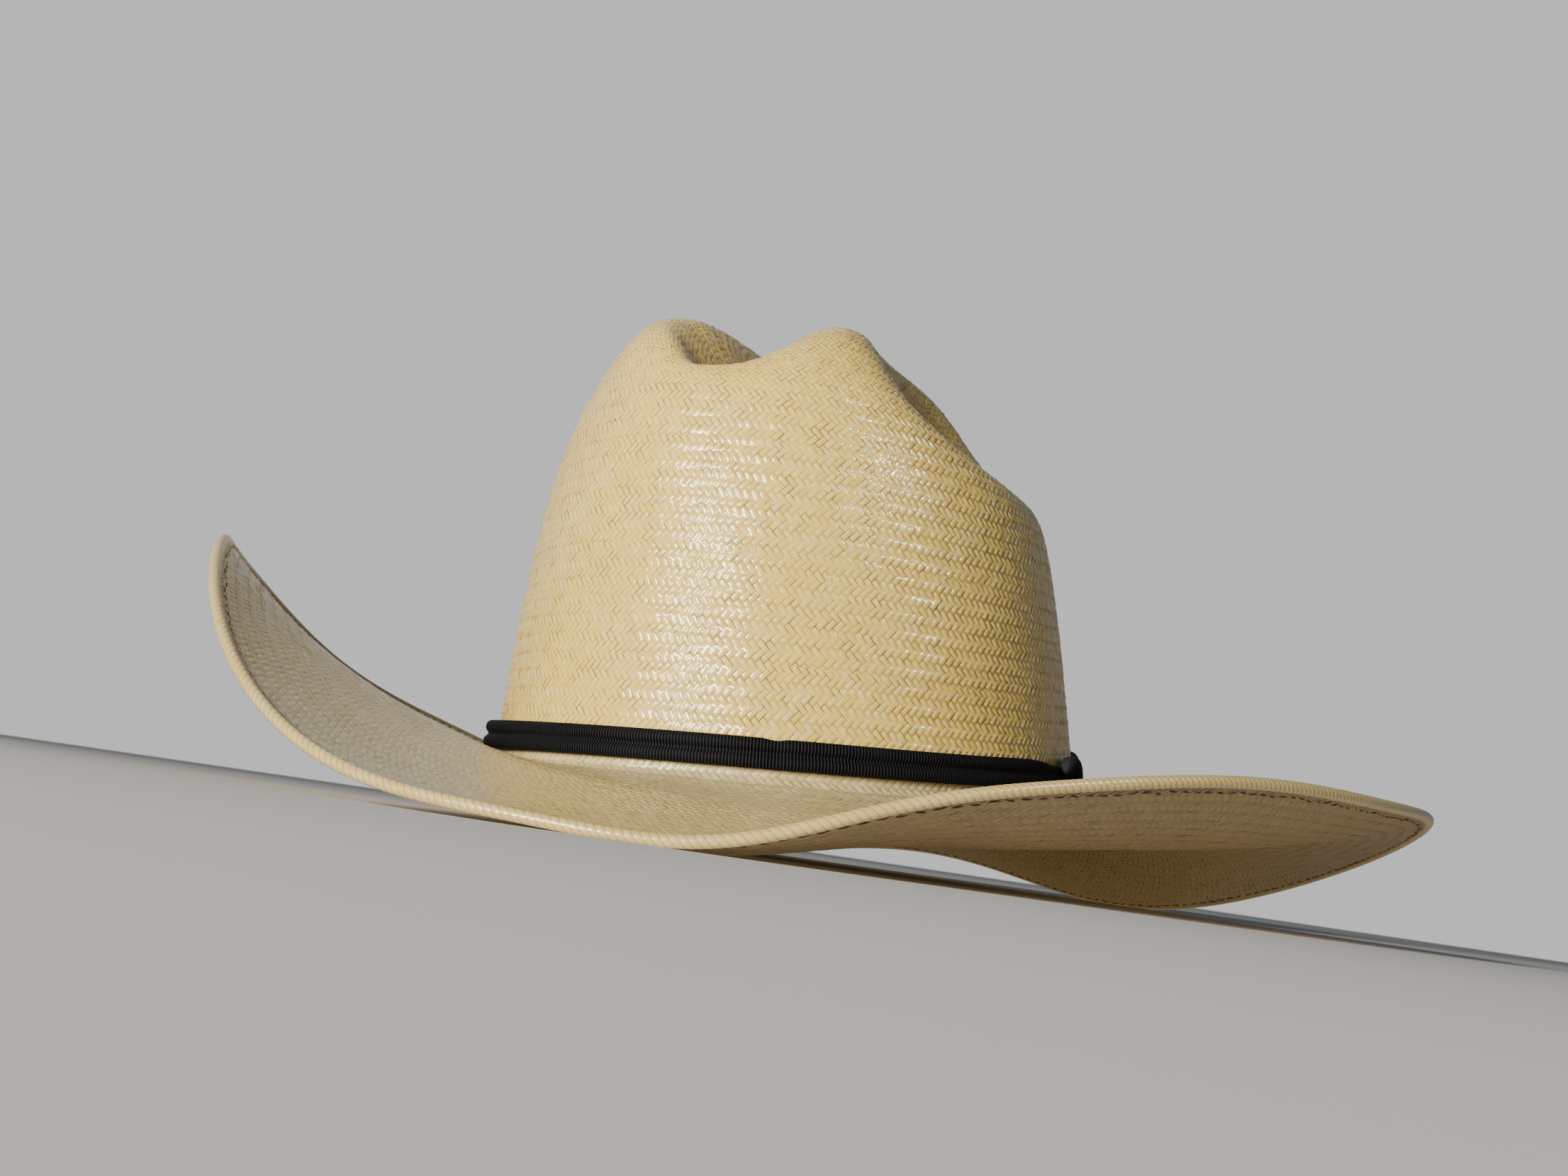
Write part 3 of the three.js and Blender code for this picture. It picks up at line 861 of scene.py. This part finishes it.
def core_points(turns, kind, value):
    values = np.full_like(turns, value)
    if kind == "out":
        return crown_face(turns, values, -CORE_SINK)
    if kind == "in":
        return crown_face(turns, values, -WALL)
    return brim_face(turns, values, 1 if kind == "top" else -1, -CORE_SINK)


def make_core():
    rings = core_rings()
    grid, column, row = flat_grid("cloth_core", CORE_AROUND, len(rings) - 1)
    turns = np.arange(CORE_AROUND + 1) * 360.0 / CORE_AROUND
    table = np.array([core_points(turns, kind, value) for kind, value in rings])
    move_corners(grid, at_rest(table[row, column]))
    close_seams(grid, CORE_SEAM_REACH)
    return grid


cloth_core = make_core()

# %% [markdown]
# The core's material is seen between the straws and inside the crown. It has the same strips, but
# painted and with bump only, on a small UV lattice of its own. Its straw is painted darker than the
# straw outside and its lines nearly black: partly painted shade.


# %% The core's material
CORE_STRIPS = (240.0, 190.0, 1.0)  # round the hat and along the core


def core_material():
    material, tree, shader = new_material("core straw")
    place = add_node(tree, "ShaderNodeUVMap", (-1200, 0), uv_map="UVMap").outputs[0]
    scale = add_node(tree, "ShaderNodeMapping", (-1000, 0))
    scale.inputs["Scale"].default_value = CORE_STRIPS
    tree.links.new(place, scale.inputs["Vector"])
    checks = add_node(tree, "ShaderNodeTexBrick", (-750, 0))
    checks.inputs["Scale"].default_value = 1.0
    checks.inputs["Mortar Size"].default_value = 0.06
    # Darker straw and near-black lines: partly painted shade between and behind the straws.
    checks.inputs["Color1"].default_value = (0.50, 0.37, 0.19, 1)
    checks.inputs["Color2"].default_value = (0.36, 0.25, 0.12, 1)
    checks.inputs["Mortar"].default_value = (0.08, 0.045, 0.018, 1)
    tree.links.new(scale.outputs[0], checks.inputs["Vector"])
    add_bump(tree, shader, checks.outputs["Fac"], distance=0.0003, invert=True)
    tree.links.new(checks.outputs["Color"], shader.inputs["Base Color"])
    shader.inputs["Roughness"].default_value = 0.6
    return material


finish_piece(cloth_core, "woven_straw", core_material(), "hat_body")

# %% [markdown]
# ## The rolled edge
# The brim's edge is rolled over and bound with straw that winds round it. One turn of the winding is
# a small bulge, modelled on a flat grid. It is repeated all the way round and wrapped into a tube,
# slanted so that each winding advances two places on its way round.

# %% Make the rolled edge
ROLL_WINDINGS = 640
ROLL_SLANT = 3
ROLL_BULGE = 0.09  # millimetres
ROLL_BULGE_POWER = 2.2
ROLL_FACES = (4, 10)  # across a winding and round the tube


def make_edge_roll():
    winding, column, row = flat_grid("edge_roll", *ROLL_FACES)
    flat = corners_of(winding)
    flat[:, 2] = ROLL_BULGE * (1.0 - np.abs(2.0 * flat[:, 0] - 1.0) ** ROLL_BULGE_POWER)
    move_corners(winding, flat)
    winding.data.uv_layers[0].name = "along"
    array_of(winding, ROLL_WINDINGS, (1, 0, 0))
    flat = corners_of(winding)
    turn = 360.0 * (flat[:, 0] + ROLL_SLANT * flat[:, 1]) / ROLL_WINDINGS
    angle = 2.0 * math.pi * flat[:, 1]
    radius = BEAD / 2 - ROLL_BULGE * 0.6 + flat[:, 2]
    share = 1.0 - BEAD / 2 / brim_value(WIDTH, turn)
    normal = surface_normal(brim_point, turn, share, 1.0, 1.0)
    out = unit(brim_point(turn, np.ones_like(turn)) - brim_point(turn, share))
    points = (
        brim_point(turn, share)
        + normal * (BEAD / 2 + radius * np.sin(angle))[:, None]
        + out * (radius * np.cos(angle))[:, None]
    )
    move_corners(winding, at_rest(points))
    close_seams(winding)
    return winding


def roll_material():
    material, tree, shader = new_material("edge straw")
    along = add_node(tree, "ShaderNodeUVMap", (-1200, 0), uv_map="along").outputs[0]
    parts = add_node(tree, "ShaderNodeSeparateXYZ", (-1000, 0))
    tree.links.new(along, parts.inputs[0])
    side = math_node(tree, (-800, 0), "PINGPONG", parts.outputs[0], 0.5)
    face = step_node(tree, (-600, 0), side, 0.0, 0.2)
    place = add_node(tree, "ShaderNodeTexCoord", (-1200, -300)).outputs["Object"]
    patch = noise_node(tree, (-800, -300), place, 60.0, 3.0)
    pale = mix_colours(tree, (-400, -200), patch, (0.66, 0.53, 0.24, 1), (0.55, 0.41, 0.15, 1))
    # The darker line between the windings is partly their seam and partly painted shade in the groove.
    colour = mix_colours(tree, (-200, 0), face, (0.42, 0.30, 0.11, 1), pale)
    fibre = noise_node(tree, (-800, -600), place, 1100.0, 3.0)
    add_bump(tree, shader, fibre, distance=0.0002, strength=0.5)
    tree.links.new(colour, shader.inputs["Base Color"])
    shader.inputs["Roughness"].default_value = 0.34
    shader.inputs["Coat Weight"].default_value = 0.5
    shader.inputs["Coat Roughness"].default_value = 0.15
    return material


edge_roll = make_edge_roll()
finish_piece(edge_roll, "woven_straw", roll_material())

# %% [markdown]
# ## The hem's stitches
# The cloth is turned in under the rolled edge and sewn down. One thread is painted as two copies:
# a lit tan one above, where it hardly shows, and a shaded brown one below, painted shade. A stitch
# is a short rounded bar that sinks into the straw at both ends. One is made from a small sphere,
# drawn out, and its copies are laid round both faces of the brim.

# %% Sew the hem
STITCH_COUNT = 288
STITCH = {"length": 3.1, "pitch": 4.1, "thick": 0.45, "hem": 4.5, "stray": 0.22, "skew": 0.35}  # millimetres
STITCH_LIFT = 0.12  # millimetres, of its middle
STITCH_SHAPE = {"flat": 0.9, "sink": 0.48}  # shares of its thickness


def make_stitches(name, side):
    bpy.ops.object.select_all(action="DESELECT")
    bpy.ops.mesh.primitive_uv_sphere_add(segments=6, ring_count=5, radius=0.5, rotation=(0, math.pi / 2, 0))
    row = bpy.context.object
    bpy.ops.object.transform_apply(location=True, rotation=True, scale=True)
    row.name = row.data.name = name
    array_of(row, STITCH_COUNT, (2, 0, 0))
    flat = corners_of(row)
    place = np.round(flat[:, 0] / 2.0)
    offset = flat[:, 0] - 2.0 * place
    stray, skew = np.random.default_rng(5).normal(0.0, 1.0, (2, STITCH_COUNT))[:, place.astype(int)]
    turn = side * 360.0 * (place + offset * STITCH["length"] / STITCH["pitch"]) / STITCH_COUNT
    across = flat[:, 1] * STITCH["thick"] + stray * STITCH["stray"] + skew * STITCH["skew"] * 2.0 * offset
    share = 1.0 - (STITCH["hem"] + across) / brim_value(WIDTH, turn)
    sunk = STITCH_SHAPE["sink"] * (2.0 * np.abs(offset)) ** 3
    lift = STITCH_LIFT + STITCH["thick"] * (flat[:, 2] * STITCH_SHAPE["flat"] - sunk)
    move_corners(row, at_rest(brim_face(turn, share, side, lift)))
    return row


def thread_material(name, light, dark):
    material, tree, shader = new_material(name)
    place = add_node(tree, "ShaderNodeTexCoord", (-900, 0)).outputs["Object"]
    twist = noise_node(tree, (-650, 0), place, 2500.0, 2.0)
    colour = mix_colours(tree, (-300, 0), twist, (*light, 1), (*dark, 1))
    tree.links.new(colour, shader.inputs["Base Color"])
    shader.inputs["Roughness"].default_value = 0.6
    return material


# One thread in a lit tan copy and a shaded brown copy: painted light and painted shade.
lit_tan_thread = thread_material("lit tan thread", (0.52, 0.42, 0.24), (0.42, 0.33, 0.17))
shaded_brown_thread = thread_material("shaded brown thread", (0.21, 0.11, 0.06), (0.13, 0.06, 0.035))
for name, side, thread in (("hem_stitches_top", 1, lit_tan_thread), ("hem_stitches_under", -1, shaded_brown_thread)):
    finish_piece(make_stitches(name, side), "woven_straw", thread)

# %% [markdown]
# ## The ribbon band
# A grosgrain ribbon is folded double, so two soft folds lie over each other with a groove between.
# Grosgrain has fine ribs across it, 0.9 mm apart. A rib is one cell of a grid that rises in its
# middle. It is repeated round the crown and wrapped on the closed section of the two folds.

# %% The band's section and a place beside the crown
BAND_GAP = 0.3  # millimetres between the straw and the ribbon's inner side
BAND_HEIGHTS = (3.0, 3.1, 4.2, 5.7, 7.0, 8.3, 9.8, 10.9, 11.0)
BAND_STAND_OFFS = (BAND_GAP, 2.6, 3.6, 3.6, 2.6, 3.6, 3.6, 2.6, BAND_GAP)
BAND_SECTION = np.stack([BAND_HEIGHTS, BAND_STAND_OFFS], -1)  # millimetres
BAND_MIDDLE = 7.0
BAND_HALF_HEIGHT = 4.0
# NECK is where the knot draws the band together, and NIP a small crease at the back.
NECK = {"turn": 82.0, "half_turn": 17.0, "top_drop": 2.4, "bottom_rise": 1.2, "sink": 0.58}
NIP = {"turn": 155.5, "half_turn": 1.6, "drop": 0.5, "sink": 0.15}


def side_point(turn, height, stand_off):
    """A place beside the crown, by its height above the foot and its distance from the straw."""
    top = crown_height(CROWN_HALF_LENGTH * np.cos(np.radians(turn)))
    out = surface_normal(crown_point, turn, climb_at(BAND_MIDDLE / top), TOP_CLIMB, -1.0)
    climb = climb_at(np.maximum(height, 0.0) / top)
    points = crown_point(turn, climb) + out * np.reshape(stand_off, (-1, 1))
    points[:, 2] += np.minimum(height, 0.0)
    return points


def rounded_section(rows, between):
    """The section's table with soft bends: a curve through every row, closed on its inner side."""
    count = len(rows) - 1
    made = []
    for i in range(count):
        before, a, b, after = rows[max(i - 1, 0)], rows[i], rows[i + 1], rows[min(i + 2, count)]
        for t in np.arange(between) / between:
            bend = (b - before) * t * (1 - t) ** 2 / 2 - (after - a) * t * t * (1 - t) / 2
            made.append(a * (1 + 2 * t) * (1 - t) ** 2 + b * t * t * (3 - 2 * t) + bend)
    return np.array(made + [rows[-1]])


band_section = rounded_section(BAND_SECTION, 3)
print("band section:", len(band_section), "points,", BAND_SECTION[-1, 0] - BAND_SECTION[0, 0], "mm high")

# %% Wrap the ribbed band
BAND_RIBS = 648
RIB_RISE = 0.13


def make_band():
    sides = len(band_section)
    rib, column, row = flat_grid("ribbon_band", 2, sides)
    flat = corners_of(rib)
    flat[:, 2] = np.where(column == 1, RIB_RISE, 0.0)
    move_corners(rib, flat)
    rib.data.uv_layers[0].name = "along"
    array_of(rib, BAND_RIBS, (1, 0, 0))
    flat = corners_of(rib)
    turn = -360.0 * flat[:, 0] / BAND_RIBS
    height, stand_off = band_section[np.round(flat[:, 1] * sides).astype(int) % sides].T
    stand_off = stand_off + flat[:, 2] * (stand_off > BAND_GAP)
    around = turn % 360.0
    neck = np.exp(-(((around - NECK["turn"]) / NECK["half_turn"]) ** 4))
    nip = bell((around - NIP["turn"]) / NIP["half_turn"])
    side = (height - BAND_MIDDLE) / BAND_HALF_HEIGHT
    drawn = np.where(side > 0, NECK["top_drop"] * neck + NIP["drop"] * nip, NECK["bottom_rise"] * neck)
    sunk = (stand_off - BAND_GAP) * (NECK["sink"] * neck + NIP["sink"] * nip)
    move_corners(rib, at_rest(side_point(turn, height - side * drawn, stand_off - sunk)))
    close_seams(rib)
    return rib


# %% [markdown]
# Black grosgrain isn't quite black. The tops of its ribs are painted a little bluish grey, a painted
# sheen, and the grooves nearly black, painted shade. The band, the knot and its end share one
# material for that.


# %% Ribbon material
# The ribs' tops take a painted sheen and the grooves painted shade; the dust is the ribbon's own.
RIBBON = {
    "groove": (0.0005, 0.0005, 0.0006, 1),
    "painted_crest_sheen": (0.021, 0.022, 0.028, 1),
    "dust": (0.012, 0.012, 0.014, 1),
}
THREAD_SCALE = 1800.0  # per metre, of the ribbon's own threads
DUST_SCALE = 35.0


def ribbon_material(name):
    material, tree, shader = new_material(name)
    along = add_node(tree, "ShaderNodeUVMap", (-1700, -300), uv_map="along").outputs[0]
    parts = add_node(tree, "ShaderNodeSeparateXYZ", (-1500, -300))
    tree.links.new(along, parts.inputs[0])
    across = math_node(tree, (-1300, -200), "PINGPONG", parts.outputs[0], 0.5)
    # Where the ribs' tops take the painted sheen.
    painted_crest_sheen = step_node(tree, (-1100, -200), across, 0.2, 0.45)
    place = add_node(tree, "ShaderNodeTexCoord", (-1700, -600)).outputs["Object"]
    threads = noise_node(tree, (-1300, -600), place, THREAD_SCALE)
    faded = noise_node(tree, (-1300, -850), place, DUST_SCALE)
    dark = mix_colours(tree, (-900, -100), painted_crest_sheen, RIBBON["groove"], RIBBON["painted_crest_sheen"])
    dusty = step_node(tree, (-900, -850), faded, 0.45, 0.8, 0.0, 0.35)
    colour = mix_colours(tree, (-600, -100), dusty, dark, RIBBON["dust"])
    rough = math_node(tree, (-600, -500), "MULTIPLY_ADD", threads, 0.2)
    rough.node.inputs[2].default_value = 0.6
    tree.links.new(colour, shader.inputs["Base Color"])
    tree.links.new(rough, shader.inputs["Roughness"])
    add_bump(tree, shader, threads, distance=0.00008, strength=0.3)
    shader.inputs["Specular IOR Level"].default_value = 0.06
    return material


black_ribbon = ribbon_material("black ribbon")
ribbon_band = make_band()
finish_piece(ribbon_band, "ribbon", black_ribbon, "hat_band")

# %% [markdown]
# ## The knot and its end
# The ribbon ends in a small knot on the wearer's right: a short length drawn tight over the band,
# like a pillow, with ribs that bend over it. One short cut end points to the front. Both are grids
# wrapped on a rounded form, with the ribs raised as on the band. A power under one squares the form.

# %% Tie the knot
KNOT_TURN = 87.0
KNOT = {
    "half_length": 6.0,
    "half_height": 4.6,
    "half_depth": 2.65,
    "fullness": 2.6,
    "height": 6.9,  # of its middle above the foot
    "stand_off": 3.0,  # of its middle from the straw
}
KNOT_AROUND = 36
KNOT_RIBS = 13
KNOT_RIB_RISE = 0.10
ROWS_PER_RIB = 4
MM_TURN = 1.0 / math.radians(CROWN_HALF_WIDTH)


def make_knot():
    rows = KNOT_RIBS * ROWS_PER_RIB
    knot, column, row = flat_grid("ribbon_knot", KNOT_AROUND, rows)
    knot.data.uv_layers[0].name = "along"
    power = 2.0 / KNOT["fullness"]
    around = 2.0 * np.pi * column / KNOT_AROUND
    tilt = np.pi * (row / rows - 0.5)

    def rounded(value):
        return np.sign(value) * np.abs(value) ** power

    size = np.maximum(np.cos(tilt), 0.0) ** power
    place = row % ROWS_PER_RIB
    rib = KNOT_RIB_RISE * np.where(place == ROWS_PER_RIB / 2, 1.0, np.where(place == 0, -1.0, 0.0)) * size
    turn = KNOT_TURN + KNOT["half_length"] * rounded(np.sin(tilt)) * MM_TURN
    height = KNOT["height"] - (KNOT["half_height"] * size + rib) * rounded(np.cos(around))
    stand_off = KNOT["stand_off"] + (KNOT["half_depth"] * size + rib) * rounded(np.sin(around))
    move_corners(knot, at_rest(side_point(turn, height, stand_off)))
    close_seams(knot, SOLID_SEAM_REACH, turn_out=True)
    return knot


finish_piece(make_knot(), "ribbon", black_ribbon, "band_knot")

# %% Cut the end
END_THICKNESS = 1.0
END_CUT = 1.6  # degrees that the cut slants back from its lower corner to its upper one
END_AROUND = 20
END_RIBS = 20
END_RIB_RISE = 0.09
END_SQUARENESS = 0.35
# Each row is a turn, then the middle's height, the width and the inner side's stand-off in millimetres.
END = np.array(
    [
        [70.0, 0.9, 4.4, 4.8],
        [74.0, 1.2, 4.4, 4.3],
        [77.5, 1.8, 4.2, 3.8],
        [80.5, 2.6, 3.6, 3.4],
        [82.8, 3.6, 2.8, 3.2],
        [85.0, 4.8, 2.4, 3.0],
    ]
)


def make_end():
    steps = END_RIBS * 2
    end, column, row = flat_grid("ribbon_end", END_AROUND, steps)
    end.data.uv_layers[0].name = "along"
    along = row / steps * (len(END) - 1)
    turn, middle, width, inner = (np.interp(along, np.arange(len(END)), END[:, i]) for i in range(4))
    angle = 2.0 * np.pi * column / END_AROUND
    across = np.sign(np.sin(angle)) * np.abs(np.sin(angle)) ** END_SQUARENESS
    through = np.sign(np.cos(angle)) * np.abs(np.cos(angle)) ** END_SQUARENESS
    rib = np.where(row % 2 == 1, END_RIB_RISE, 0.0)
    height = middle + across * width / 2
    stand_off = inner + END_THICKNESS / 2 + through * (END_THICKNESS / 2 - 0.08 + rib)
    cut = END_CUT * (across + 1) / 2 * np.clip(1 - along, 0, 1)
    closed = (row == 0) | (row == steps)
    height = np.where(closed, middle + across * width / 2 * 0.92, height)
    stand_off = np.where(closed, inner + END_THICKNESS / 2, stand_off)
    move_corners(end, at_rest(side_point(turn + cut, height, stand_off)))
    close_seams(end, SOLID_SEAM_REACH, turn_out=True)
    return end


finish_piece(make_end(), "ribbon", black_ribbon, "band_end")
bpy.data.objects.remove(weave_cell)

# %% [markdown]
# ## Table, light and camera
# The hat lies on a wide pale floor. A tall warm key light left of the camera makes the first long
# upright gloss on the straw. A weak cool light far to the right shows the shaded side, and a narrow
# one beside it makes the second gloss: it is seen only in reflections. A small light stands under
# the floor, and the floor casts no shadow, so it lights the brim from below, as a pale table would.
# The world gives the rest. The camera looks up at the hat from just above the floor, turned a
# little, as in the photograph.

# %% Floor and world
FLOOR_RADIUS = 4.0
FLOOR_FADE = (1.3, 3.6)  # metres from the hat, over which the floor fades into the room
FLOOR_COLOUR = (0.74, 0.75, 0.79, 1)
ROOM_LIGHT = (0.075, 0.10)  # from the camera's side and from the wall behind the hat
WALL_LIGHT = 0.66  # the wall as it is seen and mirrored
ROOM_COLOUR, WALL_COLOUR = (0.87, 0.94, 1.0, 1), (0.99, 0.995, 1.0, 1)
TO_WALL = (-0.404, 0.915, 0.0)
TO_RIGHT = (0.915, 0.404, 0.0)  # the camera's right, where the room is darker


def make_floor():
    bpy.ops.object.select_all(action="DESELECT")
    bpy.ops.mesh.primitive_circle_add(vertices=96, radius=FLOOR_RADIUS, fill_type="NGON", location=(0, 0, 0))
    floor = bpy.context.object
    floor.name = floor.data.name = "floor"
    material, tree, shader = new_material("pale floor")
    shader.inputs["Base Color"].default_value = FLOOR_COLOUR
    shader.inputs["Roughness"].default_value = 0.9
    shader.inputs["Specular IOR Level"].default_value = 0.0
    place = add_node(tree, "ShaderNodeTexCoord", (-900, 0)).outputs["Object"]
    away = add_node(tree, "ShaderNodeVectorMath", (-700, 0), operation="LENGTH")
    tree.links.new(place, away.inputs[0])
    fade = step_node(tree, (-500, 0), away.outputs["Value"], *FLOOR_FADE, 1.0, 0.0)
    tree.links.new(fade, shader.inputs["Alpha"])
    floor.data.materials.append(material)
    floor.visible_shadow = False  # the bounce light stands under it
    return floor


def make_world():
    """A soft room, weaker than the pale wall that the camera sees and the straw mirrors."""
    world = bpy.data.worlds.new("soft room")
    bpy.context.scene.world = world
    world.use_nodes = True
    tree = world.node_tree
    tree.nodes.clear()
    room = add_node(tree, "ShaderNodeBackground", (-200, 100))
    room.inputs["Color"].default_value = ROOM_COLOUR
    direction = add_node(tree, "ShaderNodeTexCoord", (-900, 100)).outputs["Generated"]
    facing = add_node(tree, "ShaderNodeVectorMath", (-700, 100), operation="DOT_PRODUCT")
    facing.inputs[1].default_value = TO_WALL
    tree.links.new(direction, facing.inputs[0])
    strength = step_node(tree, (-500, 100), facing.outputs["Value"], -0.3, 0.6, *ROOM_LIGHT)
    tree.links.new(strength, room.inputs["Strength"])
    mirrored = step_node(tree, (-500, 300), facing.outputs["Value"], 0.0, 0.5)
    rightward = add_node(tree, "ShaderNodeVectorMath", (-700, 500), operation="DOT_PRODUCT")
    rightward.inputs[1].default_value = TO_RIGHT
    tree.links.new(direction, rightward.inputs[0])
    in_light = step_node(tree, (-500, 500), rightward.outputs["Value"], -0.1, 0.35, 1.0, 0.25)
    mirrored = math_node(tree, (-400, 400), "MULTIPLY", mirrored, in_light)
    wall = add_node(tree, "ShaderNodeBackground", (-200, -100))
    wall.inputs["Color"].default_value = WALL_COLOUR
    wall.inputs["Strength"].default_value = WALL_LIGHT
    seen = add_node(tree, "ShaderNodeLightPath", (-200, 400))
    mix = add_node(tree, "ShaderNodeMixShader", (100, 0))
    out = add_node(tree, "ShaderNodeOutputWorld", (300, 0))
    mirrored = math_node(tree, (-300, 300), "MULTIPLY", mirrored, seen.outputs["Is Glossy Ray"])
    as_wall = math_node(tree, (-100, 300), "MAXIMUM", mirrored, seen.outputs["Is Camera Ray"])
    tree.links.new(as_wall, mix.inputs[0])
    tree.links.new(room.outputs[0], mix.inputs[1])
    tree.links.new(wall.outputs[0], mix.inputs[2])
    tree.links.new(mix.outputs[0], out.inputs[0])


make_floor()
make_world()
print("floor", FLOOR_RADIUS, "m in radius, room light", ROOM_LIGHT)

# %% Lights and camera
CAMERA_TURN = 23.79  # degrees round the hat from straight behind it
CAMERA_PITCH, CAMERA_ROLL = 97.45, -8.22  # degrees
CAMERA_PLACE = (0.24425, -0.55311, 0.00403)  # metres
CAMERA_LENS = 45.19
LIGHT_AIM = Vector((0, 0, 0.08))  # the middle of the crown


def soft_light(name, turn, distance, height, size, power, colour):
    """A rectangular light that faces the crown. turn is from the camera, positive to its right."""
    turn = math.radians(CAMERA_TURN + turn)
    data = bpy.data.lights.new(name, "AREA")
    data.shape = "RECTANGLE"
    data.size, data.size_y = size
    data.energy = power
    data.color = colour
    light = bpy.data.objects.new(name, data)
    light.location = (distance * math.sin(turn), -distance * math.cos(turn), height)
    aim = LIGHT_AIM - light.location
    light.rotation_euler = aim.to_track_quat("-Z", "Y").to_euler()
    light.visible_camera = False
    bpy.context.scene.collection.objects.link(light)
    return light


LIGHTS = {
    "key": dict(turn=-31, distance=2.3, height=0.47, size=(0.25, 0.9), power=108.0, colour=(1.0, 0.94, 0.80)),
    "side": dict(turn=54, distance=2.2, height=1.25, size=(0.5, 0.9), power=1.7, colour=(0.78, 0.88, 1.0)),
    "gloss": dict(turn=55, distance=2.2, height=1.5, size=(0.12, 0.35), power=26.0, colour=(1.0, 1.0, 1.0)),
    "bounce": dict(turn=111, distance=0.14, height=-0.4, size=(0.5, 0.5), power=0.9, colour=(1.0, 0.97, 0.9)),
}
lights = {name: soft_light(name, **values) for name, values in LIGHTS.items()}
lights["gloss"].visible_diffuse = False
print("lights:", sorted(lights))

camera_data = bpy.data.cameras.new("camera")
camera_data.lens = CAMERA_LENS
camera_data.sensor_width = 36.0
camera_data.clip_start = 0.01
camera_data.clip_end = 100.0
camera = bpy.data.objects.new("camera", camera_data)
camera.location = CAMERA_PLACE
camera.rotation_euler = [math.radians(angle) for angle in (CAMERA_PITCH, CAMERA_ROLL, CAMERA_TURN)]
bpy.context.scene.collection.objects.link(camera)
bpy.context.scene.camera = camera
print("camera", round(camera.location.z * 1000), "mm above the floor")
